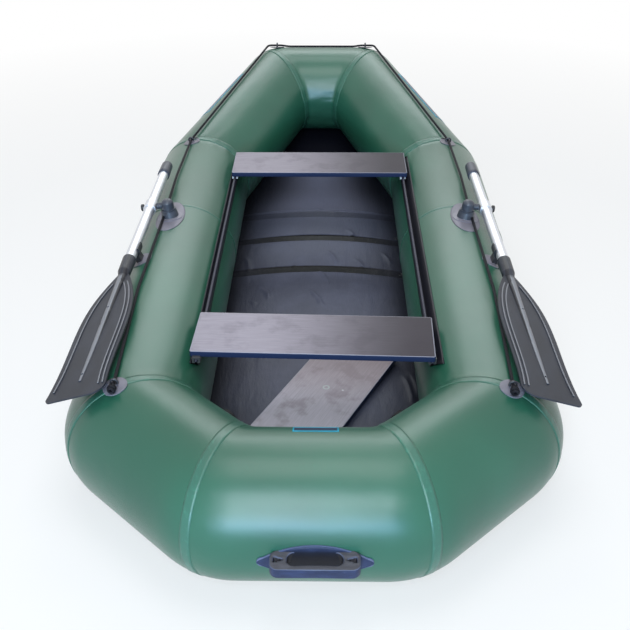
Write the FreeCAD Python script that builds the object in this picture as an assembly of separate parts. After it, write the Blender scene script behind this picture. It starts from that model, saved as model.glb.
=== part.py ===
import FreeCAD, Part
import math
import os

# Inflatable rowing boat with two sliding seat boards and a pair of oars stowed along its sides.
# X is athwartships with +X to starboard, Y runs from stern to bow and Z is up. Sizes are in millimetres.
# Stations along Y are counted from the stern tube's axis. The finished pieces are moved so that
# the origin lies under the middle of the boat, on the floor.

# Hull tubes: the starboard half of the tube ring's axis, from the stern corner to the bow corner
TUBE_RADIUS = 170.0
STERN_CORNER_X = 194.0
STERN_QUARTER_REACH = 244.0
SIDE_AFT_LENGTH = 968.0
SIDE_FORE_LENGTH = 603.0
BOW_QUARTER_REACH = 625.0
BOW_CORNER_X = 165.0
BOW_RISE = 161.0

# Seam tapes over the tube joints
TAPE_WIDTH = 28.0
SIDE_TAPE_WIDTH = 12.0
TAPE_THICKNESS = 1.2

# Bottom sheet, and the gap at which a soft piece lies on its neighbour
SHEET_THICKNESS = 1.5
SHEET_MARGIN = 25.0
SEAT_GAP = 0.4

# Slatted floor mat
MAT_SIDE_INSET = 103.0
MAT_EDGE_HEIGHT = 9.0
MAT_CROWN = 42.0
MAT_AFT_Y = 125.0
MAT_DIAGONAL_INSET = 125.0
MAT_FIRST_BAND_Y = 415.0
MAT_BAND_PITCH = 225.0
MAT_BAND_WIDTH = 38.0
MAT_BAND_DEPTH = 1.5

# Loose plank on the mat
PLANK_LENGTH = 600.0
PLANK_WIDTH = 205.0
PLANK_THICKNESS = 12.0
PLANK_X = 36.0
PLANK_Y = 575.0
PLANK_TURN = 25.7
PLANK_HOLE_RADIUS = 8.0
PLANK_CORNER_RADIUS = 6.0

# Seat boards
SEAT_LENGTH = 615.0
SEAT_DEPTH = 193.0
SEAT_THICKNESS = 12.0
SEAT_LAP = 34.5
SEAT_RISE = 148.1
SEAT_CORNER_RADIUS = 18.0
BOARD_EDGE_RADIUS = 2.5
AFT_SEAT_SETBACK = 224.0
FORE_SEAT_SETBACK = 177.0

# Seat rails: a strip on the tube, a web and a bead, and the slotted profile that grips the bead
RAIL_OUTER_ANGLE = 43.0
RAIL_THICKNESS = 2.6
RAIL_END_MARGIN = 18.0
WEB_THICKNESS = 3.0
BEAD_RADIUS = 4.0
BEAD_CLEARANCE = 1.0
PROFILE_WIDTH = 20.0
PROFILE_HEIGHT = 15.0
PROFILE_WALL = 3.0
PROFILE_LENGTH = 176.0
PROFILE_SLOT = 6.0

# Oarlock: a round patch and boss on the tube, a head that swivels on its stem, and the oar's pin
LOCK_SETBACK = 74.0
LOCK_ANGLE = 8.0
LOCK_PATCH_RADIUS = 40.0
LOCK_PATCH_THICKNESS = 3.0
BOSS_FOOT_RADIUS = 30.0
BOSS_TOP_RADIUS = 24.0
BOSS_HEIGHT = 22.0
BOSS_ROPE_OFFSET = 17.0
TONGUE_REACH = 50.0
TONGUE_ROOT_WIDTH = 22.0
TONGUE_TIP_WIDTH = 9.0
TONGUE_ROOT_HEIGHT = 17.0
TONGUE_TIP_HEIGHT = 5.0
STEM_RADIUS = 7.0
STEM_LENGTH = 16.0
RUNNING_GAP = 0.3
PIN_HEIGHT = 40.0
PIN_RADIUS = 5.0
PIN_BORE_GAP = 0.6
HEAD_FLANGE_RADIUS = 23.0
HEAD_RADIUS = 19.0
HEAD_FLANGE_HEIGHT = 5.0
HEAD_TOP = 20.0
HEAD_SHOULDER = 8.0
SPACER_RADIUS = 10.0
KNOB_RADIUS = 11.0
KNOB_LENGTH = 9.0
KNOB_EDGE_RADIUS = 2.25

# Oars
OAR_OFFSET = 54.0
OAR_TOE_OUT = 1.8
OAR_SLOPE = 1.7
SHAFT_RADIUS = 16.0
SHAFT_WALL = 1.5
SLEEVE_GAP = 0.1
COLLAR_RADIUS = 20.0
COLLAR_LENGTH = 46.0
COLLAR_SIDE_GAP = 1.0
GRIP_END = 320.0
GRIP_LENGTH = 88.0
GRIP_RADIUS = 17.6
GRIP_FLANGE_RADIUS = 20.0
GRIP_END_WALL = 18.0
GRIP_FLANGE = 6.0
GRIP_ROUNDING = 7.5
GRIP_END_RADIUS = 13.2
GRIP_RINGS = 4
GRIP_VALLEY_START = 0.15
GRIP_RING_START = 0.35
GRIP_RING_END = 0.85
SOCKET_START = 336.0
SOCKET_LENGTH = 94.0
SOCKET_RADIUS = 19.5
SOCKET_DEPTH = 68.0
SOCKET_WALL = 2.0
BLADE_TIP = 976.0
BLADE_TIP_HALF_WIDTH = 77.0
BLADE_THROAT_HALF_WIDTH = 15.0
BLADE_FLARE = 39.0
BLADE_FLARE_HALF_WIDTH = 35.0
BLADE_SHOULDER = 130.0
BLADE_SHOULDER_HALF_WIDTH = 60.0
BLADE_MIDDLE_HALF_WIDTH = 70.0
BLADE_THICKNESS = 4.0
BLADE_OUTER_CORNER = 12.0
BLADE_INNER_CORNER = 34.0
BLADE_ROLL = 9.0
SPINE_ROOT_RADIUS = 13.0
SPINE_END_RADIUS = 4.5
SPINE_TO_TIP = 60.0
RIB_WIDTH = 3.5
RIB_HEIGHT = 2.5
RIB_TO_TIP = 34.0
OUTER_RIB_INSETS = (14.0,)
INNER_RIB_INSETS = (9.0, 20.0)
BLADE_HOLE_RADIUS = 3.0
BLADE_HOLE_STATIONS = (600.0, 890.0)

# Oar clips on the side tubes
CLIP_STATION = 272.0
CLIP_LENGTH = 42.0
CLIP_WALL = 4.5
CLIP_GAP = 1.0
CLIP_JAW_ANGLE = 150.0
CLIP_LIP_LENGTH = 20.0
CLIP_LIP_DROP = 2.5
CLIP_PATCH_RADIUS = 34.0
CLIP_PILLAR_WIDTH = 16.0
CLIP_PILLAR_LENGTH = 34.0

# Rope eyes and the grab line
EYE_PATCH_RADIUS = 30.0
PATCH_THICKNESS = 2.5
EYE_RING_RADIUS = 8.5
EYE_WIRE_RADIUS = 3.0
ROPE_RADIUS = 4.0
ROPE_LIFT = 8.6
ROPE_TAIL = 30.0
ROPE_HOLE_GAP = 0.7
KNOT_RADIUS = 7.4
STERN_EYE_SETBACK = 30.0
STERN_EYE_ANGLE = 8.0
CORNER_EYE_ANGLE = 12.0
CORNER_EYE_SETBACK = 12.0
BOW_EYE_ANGLE = 16.0
BOW_EYE_SETBACK = 37.0
SPAN_ANGLE = 15.0
EYE_BEND_RADIUS = 60.0
SPAN_BEND_RADIUS = 400.0
BOW_BEND_RADIUS = 18.0

# Carry handles at stern and bow
HANDLE_DROP_ANGLE = 6.0
HANDLE_PATCH_LENGTH = 248.0
HANDLE_PATCH_WIDTH = 104.0
HANDLE_PATCH_THICKNESS = 4.0
HANDLE_PATCH_END = 13.0
HANDLE_FOOT_SPAN = 206.0
HANDLE_BAR_SPAN = 168.0
HANDLE_STANDOFF = 44.0
HANDLE_WIDTH = 26.0
HANDLE_SLOT_SPAN = 122.0
HANDLE_SLOT_DEPTH = 19.0
HANDLE_BAR_THICKNESS = 18.0
HANDLE_EDGE_RADIUS = 5.0

# Air valves on the stern quarters
VALVE_UP_ANGLE = 20.0
VALVE_FLANGE_RADIUS = 27.0
VALVE_FLANGE_HEIGHT = 4.0
VALVE_CAP_RADIUS = 20.0
VALVE_CAP_HEIGHT = 11.0

# Reach of the blocks that trim other shapes, and how deep a fitting starts inside the tube
TRIM_REACH = 4000.0
ROOT_DEPTH = 25.0

# What follows from the sizes above: stations along the boat, the side tubes' axis and the seats' height
AXIS_HEIGHT = TUBE_RADIUS + SHEET_THICKNESS + SEAT_GAP
SIDE_AXIS_X = SEAT_LENGTH / 2 - SEAT_LAP + TUBE_RADIUS
SIDE_AFT_Y = STERN_QUARTER_REACH
SIDE_SEAM_Y = SIDE_AFT_Y + SIDE_AFT_LENGTH
SIDE_FORE_Y = SIDE_SEAM_Y + SIDE_FORE_LENGTH
BOW_AXIS_Y = SIDE_FORE_Y + BOW_QUARTER_REACH
MAT_HALF_WIDTH = SIDE_AXIS_X - MAT_SIDE_INSET
SEAT_TOP_Z = AXIS_HEIGHT + SEAT_RISE
AFT_SEAT_Y = SIDE_AFT_Y + AFT_SEAT_SETBACK
FORE_SEAT_Y = SIDE_FORE_Y - FORE_SEAT_SETBACK
RAIL_X = SEAT_LENGTH / 2 - PROFILE_WIDTH / 2
LOCK_Y = SIDE_SEAM_Y - LOCK_SETBACK
STERN_EYE_Y = SIDE_AFT_Y - STERN_EYE_SETBACK
AXIS_X = FreeCAD.Vector(1, 0, 0)
AXIS_Y = FreeCAD.Vector(0, 1, 0)
AXIS_Z = FreeCAD.Vector(0, 0, 1)
ORIGIN = FreeCAD.Vector(0, 0, 0)


def unit(vector):
    return vector * (1.0 / vector.Length)


def turned(vector, axis, degrees):
    """The vector turned about an axis through the origin by the right-hand rule."""
    return FreeCAD.Rotation(axis, degrees).multVec(vector)


def in_frame(shape, origin, x_dir, y_dir, z_dir):
    """The shape carried from the world's axes to a frame given by its origin and its three axes."""
    matrix = FreeCAD.Matrix(
        x_dir.x, y_dir.x, z_dir.x, origin.x,
        x_dir.y, y_dir.y, z_dir.y, origin.y,
        x_dir.z, y_dir.z, z_dir.z, origin.z,
        0, 0, 0, 1)
    moved = shape.copy()
    moved.Placement = FreeCAD.Placement(matrix).multiply(shape.Placement)
    return moved


def mirrored(shape):
    """The port piece that matches a starboard one."""
    return shape.mirror(ORIGIN, AXIS_X)


def fused(shapes):
    """One solid from several that overlap or share faces."""
    return shapes[0].multiFuse(shapes[1:]).removeSplitter()


def trimmed(shape, point, normal):
    """The part of the shape behind the plane through the point, seen along the normal."""
    block = Part.makeBox(TRIM_REACH, TRIM_REACH, TRIM_REACH)
    block.translate(FreeCAD.Vector(-TRIM_REACH / 2, -TRIM_REACH / 2, 0))
    block.Placement = FreeCAD.Placement(point, FreeCAD.Rotation(AXIS_Z, normal)).multiply(block.Placement)
    return shape.cut(block)


def rounded_box(length, width, height, corner_radius, edge_radius=0.0):
    """A board centred on the origin in plan, standing on z = 0, with round corners and eased edges."""
    board = Part.makeBox(length, width, height, FreeCAD.Vector(-length / 2, -width / 2, 0))
    upright = [e for e in board.Edges if abs(e.tangentAt(e.FirstParameter).z) > 0.9]
    board = board.makeFillet(corner_radius, upright)
    if edge_radius > 0:
        rims = [e for e in board.Edges if e.BoundBox.ZLength < height / 2]
        board = board.makeFillet(edge_radius, rims)
    return board


def ring_corners():
    """The ten corners of the tube ring's axis, from the starboard stern corner round to port."""
    starboard = [
        FreeCAD.Vector(STERN_CORNER_X, 0, AXIS_HEIGHT),
        FreeCAD.Vector(SIDE_AXIS_X, SIDE_AFT_Y, AXIS_HEIGHT),
        FreeCAD.Vector(SIDE_AXIS_X, SIDE_SEAM_Y, AXIS_HEIGHT),
        FreeCAD.Vector(SIDE_AXIS_X, SIDE_FORE_Y, AXIS_HEIGHT),
        FreeCAD.Vector(BOW_CORNER_X, BOW_AXIS_Y, AXIS_HEIGHT + BOW_RISE)]
    port = [FreeCAD.Vector(-p.x, p.y, p.z) for p in reversed(starboard)]
    return starboard + port


CORNERS = ring_corners()
RUNS = ["stern quarter", "side aft", "side fore", "bow quarter", "bow"]
STERN_QUARTER = RUNS.index("stern quarter")
SIDE_AFT = RUNS.index("side aft")
SIDE_FORE = RUNS.index("side fore")
BOW_QUARTER = RUNS.index("bow quarter")
BOW = RUNS.index("bow")
STERN = len(CORNERS) - 1
BOW_SLOPE = math.atan2(BOW_RISE, BOW_AXIS_Y - SIDE_FORE_Y)
FOLD_Y = SIDE_FORE_Y + AXIS_HEIGHT * math.tan(BOW_SLOPE / 2)


def along(index):
    """The direction of the ring's run from corner index to the next one."""
    start = CORNERS[index % len(CORNERS)]
    return unit(CORNERS[(index + 1) % len(CORNERS)] - start)


def mitre(index):
    """The normal of the plane that halves the angle between the two runs at a corner."""
    return unit(along(index - 1) + along(index))


BOTH_ENDS = [(True, TAPE_WIDTH), (False, TAPE_WIDTH)]
TAPES = {STERN_QUARTER: BOTH_ENDS, SIDE_FORE: [(True, SIDE_TAPE_WIDTH)], BOW_QUARTER: BOTH_ENDS}


def tube_run(index, radius):
    """A tube of the ring between two corners, mitred at both ends."""
    start = CORNERS[index]
    end = CORNERS[(index + 1) % len(CORNERS)]
    direction = along(index)
    spare = 2 * radius
    tube = Part.makeCylinder(radius, (end - start).Length + 2 * spare, start - direction * spare, direction)
    tube = trimmed(tube, start, mitre(index) * -1)
    return trimmed(tube, end, mitre(index + 1))


def sheet_side(shape, index):
    """Cuts off what would reach below the tube's underside, into the bottom sheet."""
    downs = [FreeCAD.Vector(0, 0, -1)]
    if index == BOW_QUARTER:
        downs.append(FreeCAD.Vector(0, math.sin(BOW_SLOPE), -math.cos(BOW_SLOPE)))
    for down in downs:
        shape = trimmed(shape, CORNERS[index] + down * (TUBE_RADIUS + SEAT_GAP / 2), down)
    return shape


def seam_tapes(index, radius):
    """The bands round a run's ends, each between the run's mitre and a plane parallel to it."""
    bands = []
    for at_start, width in TAPES.get(index, []):
        corner = index if at_start else index + 1
        inward = mitre(corner) if at_start else mitre(corner) * -1
        far = CORNERS[corner] + inward * width
        bands.append(trimmed(tube_run(index, radius), far, inward))
    return bands


def taped_tube(index):
    """A tube of the ring with its raised seam tapes, which end beside the bottom sheet."""
    bands = [sheet_side(band, index) for band in seam_tapes(index, TUBE_RADIUS + TAPE_THICKNESS)]
    tube = tube_run(index, TUBE_RADIUS)
    return fused([tube] + bands) if bands else tube


def hull_tubes():
    """The ring's tubes by name. Port tubes mirror the starboard ones."""
    starboard = {
        "tube_stern_right": taped_tube(STERN_QUARTER),
        "tube_side_right_aft": taped_tube(SIDE_AFT),
        "tube_side_right_fore": taped_tube(SIDE_FORE),
        "tube_bow_right": taped_tube(BOW_QUARTER)}
    tubes = {"tube_stern": taped_tube(STERN), "tube_bow": taped_tube(BOW)}
    for name, tube in starboard.items():
        tubes[name] = tube
        tubes[name.replace("right", "left")] = mirrored(tube)
    return tubes


def margin_outline(points):
    """An outline moved outwards by the bottom sheet's margin, with sharp corners, as a face."""
    wire = Part.makePolygon(points + [points[0]])
    return Part.Face(wire.makeOffset2D(SHEET_MARGIN, join=2))


def bottom_sheet():
    """The flat bottom and the raised bow part, which meet at the fold across the boat."""
    flat_points = [
        FreeCAD.Vector(-STERN_CORNER_X, 0, 0),
        FreeCAD.Vector(STERN_CORNER_X, 0, 0),
        FreeCAD.Vector(SIDE_AXIS_X, SIDE_AFT_Y, 0),
        FreeCAD.Vector(SIDE_AXIS_X, FOLD_Y, 0),
        FreeCAD.Vector(-SIDE_AXIS_X, FOLD_Y, 0),
        FreeCAD.Vector(-SIDE_AXIS_X, SIDE_AFT_Y, 0)]
    flat = margin_outline(flat_points).extrude(AXIS_Z * SHEET_THICKNESS)
    flat = trimmed(flat, FreeCAD.Vector(0, FOLD_Y, 0), AXIS_Y)

    run = math.hypot(BOW_AXIS_Y - SIDE_FORE_Y, BOW_RISE)
    corner = AXIS_HEIGHT * math.tan(BOW_SLOPE / 2)
    bow_points = [
        FreeCAD.Vector(SIDE_AXIS_X, 0, 0),
        FreeCAD.Vector(SIDE_AXIS_X, corner, 0),
        FreeCAD.Vector(BOW_CORNER_X, corner + run, 0),
        FreeCAD.Vector(-BOW_CORNER_X, corner + run, 0),
        FreeCAD.Vector(-SIDE_AXIS_X, corner, 0),
        FreeCAD.Vector(-SIDE_AXIS_X, 0, 0)]
    raised = margin_outline(bow_points).extrude(AXIS_Z * SHEET_THICKNESS)
    slope = FreeCAD.Rotation(AXIS_X, math.degrees(BOW_SLOPE))
    raised.Placement = FreeCAD.Placement(FreeCAD.Vector(0, FOLD_Y, 0), slope)
    raised = trimmed(raised, FreeCAD.Vector(0, FOLD_Y, 0), AXIS_Y * -1)
    return {"bottom_flat": flat, "bottom_bow": raised}


def mat_radius():
    """The radius of the arc across the mat, from its half width and its rise."""
    rise = MAT_CROWN - MAT_EDGE_HEIGHT
    return (MAT_HALF_WIDTH ** 2 + rise ** 2) / (2 * rise)


def mat_profile(top_drop):
    """The mat's section across the boat: flat below, arched above, lowered on top by top_drop."""
    base = SHEET_THICKNESS + SEAT_GAP
    edge = base + MAT_EDGE_HEIGHT - top_drop
    left = FreeCAD.Vector(-MAT_HALF_WIDTH, 0, edge)
    right = FreeCAD.Vector(MAT_HALF_WIDTH, 0, edge)
    crown = FreeCAD.Vector(0, 0, base + MAT_CROWN - top_drop)
    low_left = FreeCAD.Vector(-MAT_HALF_WIDTH, 0, base)
    low_right = FreeCAD.Vector(MAT_HALF_WIDTH, 0, base)
    edges = [
        Part.LineSegment(low_left, low_right).toShape(),
        Part.LineSegment(low_right, right).toShape(),
        Part.Arc(right, crown, left).toShape(),
        Part.LineSegment(left, low_left).toShape()]
    return Part.Face(Part.Wire(edges))


def floor_mat():
    """An arched mat of stiff panels joined by lower bands, with its aft corners cut to the stern."""
    length = FOLD_Y - SEAT_GAP - MAT_AFT_Y
    mat = mat_profile(MAT_BAND_DEPTH).extrude(AXIS_Y * length)
    mat.translate(AXIS_Y * MAT_AFT_Y)
    panels = []
    start = MAT_AFT_Y
    band = MAT_FIRST_BAND_Y
    while start < FOLD_Y:
        end = min(band - MAT_BAND_WIDTH / 2, FOLD_Y - SEAT_GAP)
        panel = mat_profile(0).extrude(AXIS_Y * (end - start))
        panel.translate(AXIS_Y * start)
        panels.append(panel)
        start = band + MAT_BAND_WIDTH / 2
        band += MAT_BAND_PITCH
    mat = fused([mat] + panels)
    for side in (1, -1):
        outward = turned(along(STERN_QUARTER), AXIS_Z, -90)
        outward.x *= side
        corner = FreeCAD.Vector(side * STERN_CORNER_X, 0, 0)
        mat = trimmed(mat, corner - outward * MAT_DIAGONAL_INSET, outward)
    return mat


def floor_plank():
    """A loose plank laid askew on the mat, tangent to the mat's arch under its middle."""
    plank = rounded_box(PLANK_LENGTH, PLANK_WIDTH, PLANK_THICKNESS, PLANK_CORNER_RADIUS, BOARD_EDGE_RADIUS)
    plank = plank.cut(Part.makeCylinder(PLANK_HOLE_RADIUS, PLANK_THICKNESS))
    plank.rotate(ORIGIN, AXIS_Z, 90 - PLANK_TURN)
    lean = math.asin(PLANK_X / mat_radius())
    plank.rotate(ORIGIN, AXIS_Y, math.degrees(lean))
    crown = SHEET_THICKNESS + SEAT_GAP + MAT_CROWN
    up = FreeCAD.Vector(math.sin(lean), 0, math.cos(lean))
    centre = FreeCAD.Vector(0, PLANK_Y, crown - mat_radius())
    plank.translate(centre + up * (mat_radius() + SEAT_GAP))
    return plank


BEAD_Z = SEAT_TOP_Z - SEAT_THICKNESS - PROFILE_WALL - BEAD_CLEARANCE - BEAD_RADIUS
RAIL_AFT_Y = AFT_SEAT_Y - SEAT_DEPTH / 2 - RAIL_END_MARGIN
RAIL_FORE_Y = FORE_SEAT_Y + SEAT_DEPTH / 2 + RAIL_END_MARGIN


def seat_rail():
    """The starboard rail: a strip glued along the tube with a web that stands up and carries a bead."""
    length = RAIL_FORE_Y - RAIL_AFT_Y
    foot = FreeCAD.Vector(SIDE_AXIS_X, RAIL_AFT_Y, AXIS_HEIGHT)
    inner_radius = TUBE_RADIUS + SEAT_GAP
    strip = Part.makeCylinder(inner_radius + RAIL_THICKNESS, length, foot, AXIS_Y)
    strip = strip.cut(Part.makeCylinder(inner_radius, length, foot, AXIS_Y))
    outer = math.radians(RAIL_OUTER_ANGLE)
    outer_normal = FreeCAD.Vector(math.cos(outer), 0, math.sin(outer))
    strip = trimmed(strip, foot, outer_normal)
    strip = trimmed(strip, foot, FreeCAD.Vector(0, 0, -1))
    inboard = RAIL_X - WEB_THICKNESS / 2
    strip = trimmed(strip, FreeCAD.Vector(inboard, 0, 0), AXIS_X * -1)
    reach = SIDE_AXIS_X - inboard
    web_foot = AXIS_HEIGHT + math.sqrt(inner_radius ** 2 - reach ** 2)
    web_start = FreeCAD.Vector(inboard, RAIL_AFT_Y, web_foot)
    web = Part.makeBox(WEB_THICKNESS, length, BEAD_Z - web_foot, web_start)
    bead = Part.makeCylinder(BEAD_RADIUS, length, FreeCAD.Vector(RAIL_X, RAIL_AFT_Y, BEAD_Z), AXIS_Y)
    return fused([off_tubes(strip, [SIDE_AFT, SIDE_FORE]), off_tubes(web, [SIDE_AFT, SIDE_FORE]), bead])


def seat_profile(seat_y):
    """The slotted profile under a seat's starboard end, which slides on the rail's bead."""
    underside = SEAT_TOP_Z - SEAT_THICKNESS
    inner_x = RAIL_X - PROFILE_WIDTH / 2
    start = FreeCAD.Vector(inner_x, seat_y - PROFILE_LENGTH / 2, underside - PROFILE_HEIGHT)
    body = Part.makeBox(PROFILE_WIDTH, PROFILE_LENGTH, PROFILE_HEIGHT, start)
    bead_start = FreeCAD.Vector(RAIL_X, start.y, BEAD_Z)
    body = body.cut(Part.makeCylinder(BEAD_RADIUS + BEAD_CLEARANCE, PROFILE_LENGTH, bead_start, AXIS_Y))
    slot_start = FreeCAD.Vector(RAIL_X - PROFILE_SLOT / 2, start.y, start.z)
    return body.cut(Part.makeBox(PROFILE_SLOT, PROFILE_LENGTH, BEAD_Z - start.z, slot_start))


def seat(name, seat_y):
    """A seat board and the pair of profiles under its ends."""
    board = rounded_box(SEAT_LENGTH, SEAT_DEPTH, SEAT_THICKNESS, SEAT_CORNER_RADIUS, BOARD_EDGE_RADIUS)
    board.translate(FreeCAD.Vector(0, seat_y, SEAT_TOP_Z - SEAT_THICKNESS))
    profile = seat_profile(seat_y)
    pair = Part.makeCompound([profile, mirrored(profile)])
    return {name + "_board": board, name + "_profiles": pair}


def side_normal(angle):
    """The outward normal of the starboard side tube, at an angle outboard of its top."""
    return FreeCAD.Vector(math.sin(math.radians(angle)), 0, math.cos(math.radians(angle)))


def side_point(angle, station, height):
    """A point above the starboard side tube's surface."""
    axis_point = FreeCAD.Vector(SIDE_AXIS_X, station, AXIS_HEIGHT)
    return axis_point + side_normal(angle) * (TUBE_RADIUS + height)


def skin_patch(prism, runs, thickness):
    """The part of a prism that lies on the outside of some runs of the ring, as one thin patch."""
    skins = [tube_run(index, TUBE_RADIUS + thickness) for index in runs]
    skin = skins[0] if len(skins) == 1 else fused(skins)
    return off_tubes(prism.common(skin), runs)


def off_tubes(shape, runs):
    """The shape with what would reach into the ring's tubes or their tapes cut away."""
    for index in runs:
        shape = shape.cut(tube_run(index, TUBE_RADIUS + SEAT_GAP))
        for band in seam_tapes(index, TUBE_RADIUS + TAPE_THICKNESS + SEAT_GAP):
            shape = shape.cut(band)
    return shape


def round_prism(point, normal, radius):
    """A round rod through the tube's surface at a point, for cutting out a patch."""
    return Part.makeCylinder(radius, 2 * ROOT_DEPTH, point - normal * ROOT_DEPTH, normal)


LOCK_STEM = side_normal(LOCK_ANGLE)
PIN_OUT = turned(FreeCAD.Vector(LOCK_STEM.z, 0, -LOCK_STEM.x), LOCK_STEM, OAR_TOE_OUT)
OAR_AFT = turned(AXIS_Y * -1, LOCK_STEM, OAR_TOE_OUT)
LOCK_CENTRE = side_point(LOCK_ANGLE, LOCK_Y, PIN_HEIGHT)


def in_lock(shape):
    """From the oarlock's own axes to the boat: x aft along the oar, y out along the pin, z up the stem."""
    return in_frame(shape, LOCK_CENTRE, OAR_AFT, PIN_OUT, LOCK_STEM)


def lock_point(aft, out, up):
    """A point in the oarlock's own axes, given in the boat's."""
    return LOCK_CENTRE + OAR_AFT * aft + PIN_OUT * out + LOCK_STEM * up


def in_oar(shape):
    """From the oar's own axes to the boat: as the oarlock's, with the blade sloped down about the pin."""
    tilted = shape.copy()
    tilted.rotate(ORIGIN, AXIS_Y, OAR_SLOPE)
    return in_lock(tilted)


def shaft_point(station):
    """A point on the oar shaft's axis, in the boat's axes."""
    slope = math.radians(OAR_SLOPE)
    return lock_point(station * math.cos(slope), OAR_OFFSET, -station * math.sin(slope))


def oarlock_base():
    """A round patch on the tube with a boss, bored for the swivel's stem and for the grab line."""
    surface = side_point(LOCK_ANGLE, LOCK_Y, 0)
    patch = skin_patch(round_prism(surface, LOCK_STEM, LOCK_PATCH_RADIUS), [SIDE_AFT], LOCK_PATCH_THICKNESS)
    foot = surface - LOCK_STEM * ROOT_DEPTH / 2
    boss_length = BOSS_HEIGHT + ROOT_DEPTH / 2
    boss = Part.makeCone(BOSS_FOOT_RADIUS, BOSS_TOP_RADIUS, boss_length, foot, LOCK_STEM)
    tongue = off_tubes(boss_tongue(surface), [SIDE_AFT, SIDE_FORE])
    base = fused([patch, off_tubes(boss, [SIDE_AFT]), tongue])
    bore_depth = STEM_LENGTH + RUNNING_GAP
    bore_foot = surface + LOCK_STEM * (BOSS_HEIGHT - bore_depth)
    base = base.cut(Part.makeCylinder(STEM_RADIUS + RUNNING_GAP, bore_depth, bore_foot, LOCK_STEM))
    rope_line = rope_in_boss() - AXIS_Y * LOCK_PATCH_RADIUS
    return base.cut(Part.makeCylinder(ROPE_RADIUS + ROPE_HOLE_GAP, 2 * LOCK_PATCH_RADIUS, rope_line, AXIS_Y))


def boss_tongue(surface):
    """The wedge that runs forward from the boss, lower and narrower towards its tip."""
    across = FreeCAD.Vector(LOCK_STEM.z, 0, -LOCK_STEM.x)
    sections = []
    for reach, width, height in (
            (0, TONGUE_ROOT_WIDTH, TONGUE_ROOT_HEIGHT), (TONGUE_REACH, TONGUE_TIP_WIDTH, TONGUE_TIP_HEIGHT)):
        middle = surface + AXIS_Y * reach
        low = LOCK_STEM * (-ROOT_DEPTH / 2)
        high = LOCK_STEM * height
        half = across * (width / 2)
        corners = [middle - half + low, middle + half + low, middle + half + high, middle - half + high]
        sections.append(Part.makePolygon(corners + [corners[0]]))
    return Part.makeLoft(sections, True, True)


def rope_in_boss():
    """The point where the grab line passes beside the stem, through the boss."""
    out = FreeCAD.Vector(LOCK_STEM.z, 0, -LOCK_STEM.x)
    return side_point(LOCK_ANGLE, LOCK_Y, ROPE_LIFT) + out * BOSS_ROPE_OFFSET


SPACER_END = OAR_OFFSET - COLLAR_RADIUS - COLLAR_SIDE_GAP
KNOB_START = OAR_OFFSET + COLLAR_RADIUS + COLLAR_SIDE_GAP


def oarlock_head():
    """The domed head with its stem and the spacer that keeps the oar off it, bored for the pin."""
    foot = BOSS_HEIGHT + RUNNING_GAP - PIN_HEIGHT
    neck = foot + HEAD_FLANGE_HEIGHT
    sides = [
        (0, foot - STEM_LENGTH), (STEM_RADIUS, foot - STEM_LENGTH), (STEM_RADIUS, foot),
        (HEAD_FLANGE_RADIUS, foot), (HEAD_FLANGE_RADIUS, neck), (HEAD_RADIUS, neck),
        (HEAD_RADIUS, HEAD_SHOULDER)]
    points = [FreeCAD.Vector(radius, 0, height) for radius, height in sides]
    dome_height = HEAD_TOP - HEAD_SHOULDER
    dome = FreeCAD.Vector(HEAD_RADIUS * math.sqrt(0.5), 0, HEAD_SHOULDER + dome_height * math.sqrt(0.5))
    top = FreeCAD.Vector(0, 0, HEAD_TOP)
    edges = [Part.LineSegment(start, end).toShape() for start, end in zip(points, points[1:])]
    edges.append(Part.Arc(points[-1], dome, top).toShape())
    edges.append(Part.LineSegment(top, points[0]).toShape())
    section = Part.Face(Part.Wire(edges))
    head = section.revolve(ORIGIN, AXIS_Z, 360)
    spacer = Part.makeCylinder(SPACER_RADIUS, SPACER_END, ORIGIN, AXIS_Y)
    head = fused([head, spacer])
    bore = Part.makeCylinder(PIN_RADIUS + SLEEVE_GAP, SPACER_END, ORIGIN, AXIS_Y)
    return in_lock(head.cut(bore))


def oar_pin():
    """The pin that carries the oar, with its knob outside the collar."""
    pin = Part.makeCylinder(PIN_RADIUS, KNOB_START, FreeCAD.Vector(0, SLEEVE_GAP, 0), AXIS_Y)
    knob = Part.makeCylinder(KNOB_RADIUS, KNOB_LENGTH, FreeCAD.Vector(0, KNOB_START, 0), AXIS_Y)
    rims = [e for e in knob.Edges if e.Closed]
    return in_lock(fused([pin, knob.makeFillet(KNOB_EDGE_RADIUS, rims)]))


def pin_bore(reach):
    """The cross hole for the pin through the shaft and its collar."""
    start = FreeCAD.Vector(0, OAR_OFFSET - reach, 0)
    return Part.makeCylinder(PIN_RADIUS + PIN_BORE_GAP, 2 * reach, start, AXIS_Y)


def along_shaft(radius, start, length):
    """A cylinder on the shaft's axis in the oar's own axes."""
    return Part.makeCylinder(radius, length, FreeCAD.Vector(start, OAR_OFFSET, 0), AXIS_X)


def oar_shaft():
    """The aluminium tube, from inside the grip to inside the blade's socket."""
    start = -GRIP_END + GRIP_END_WALL + SLEEVE_GAP
    length = SOCKET_START + SOCKET_DEPTH - SLEEVE_GAP - start
    inside = along_shaft(SHAFT_RADIUS - SHAFT_WALL, start, length)
    tube = along_shaft(SHAFT_RADIUS, start, length).cut(inside)
    return in_oar(tube.cut(pin_bore(COLLAR_RADIUS + SHAFT_RADIUS)))


def oar_collar():
    """The plastic sleeve round the shaft at the pin."""
    start = -COLLAR_LENGTH / 2
    sleeve = along_shaft(COLLAR_RADIUS, start, COLLAR_LENGTH)
    sleeve = sleeve.makeFillet((COLLAR_RADIUS - SHAFT_RADIUS) / 2, [e for e in sleeve.Edges if e.Closed])
    sleeve = sleeve.cut(along_shaft(SHAFT_RADIUS + SLEEVE_GAP, start, COLLAR_LENGTH))
    return in_oar(sleeve.cut(pin_bore(COLLAR_RADIUS + SHAFT_RADIUS)))


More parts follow.
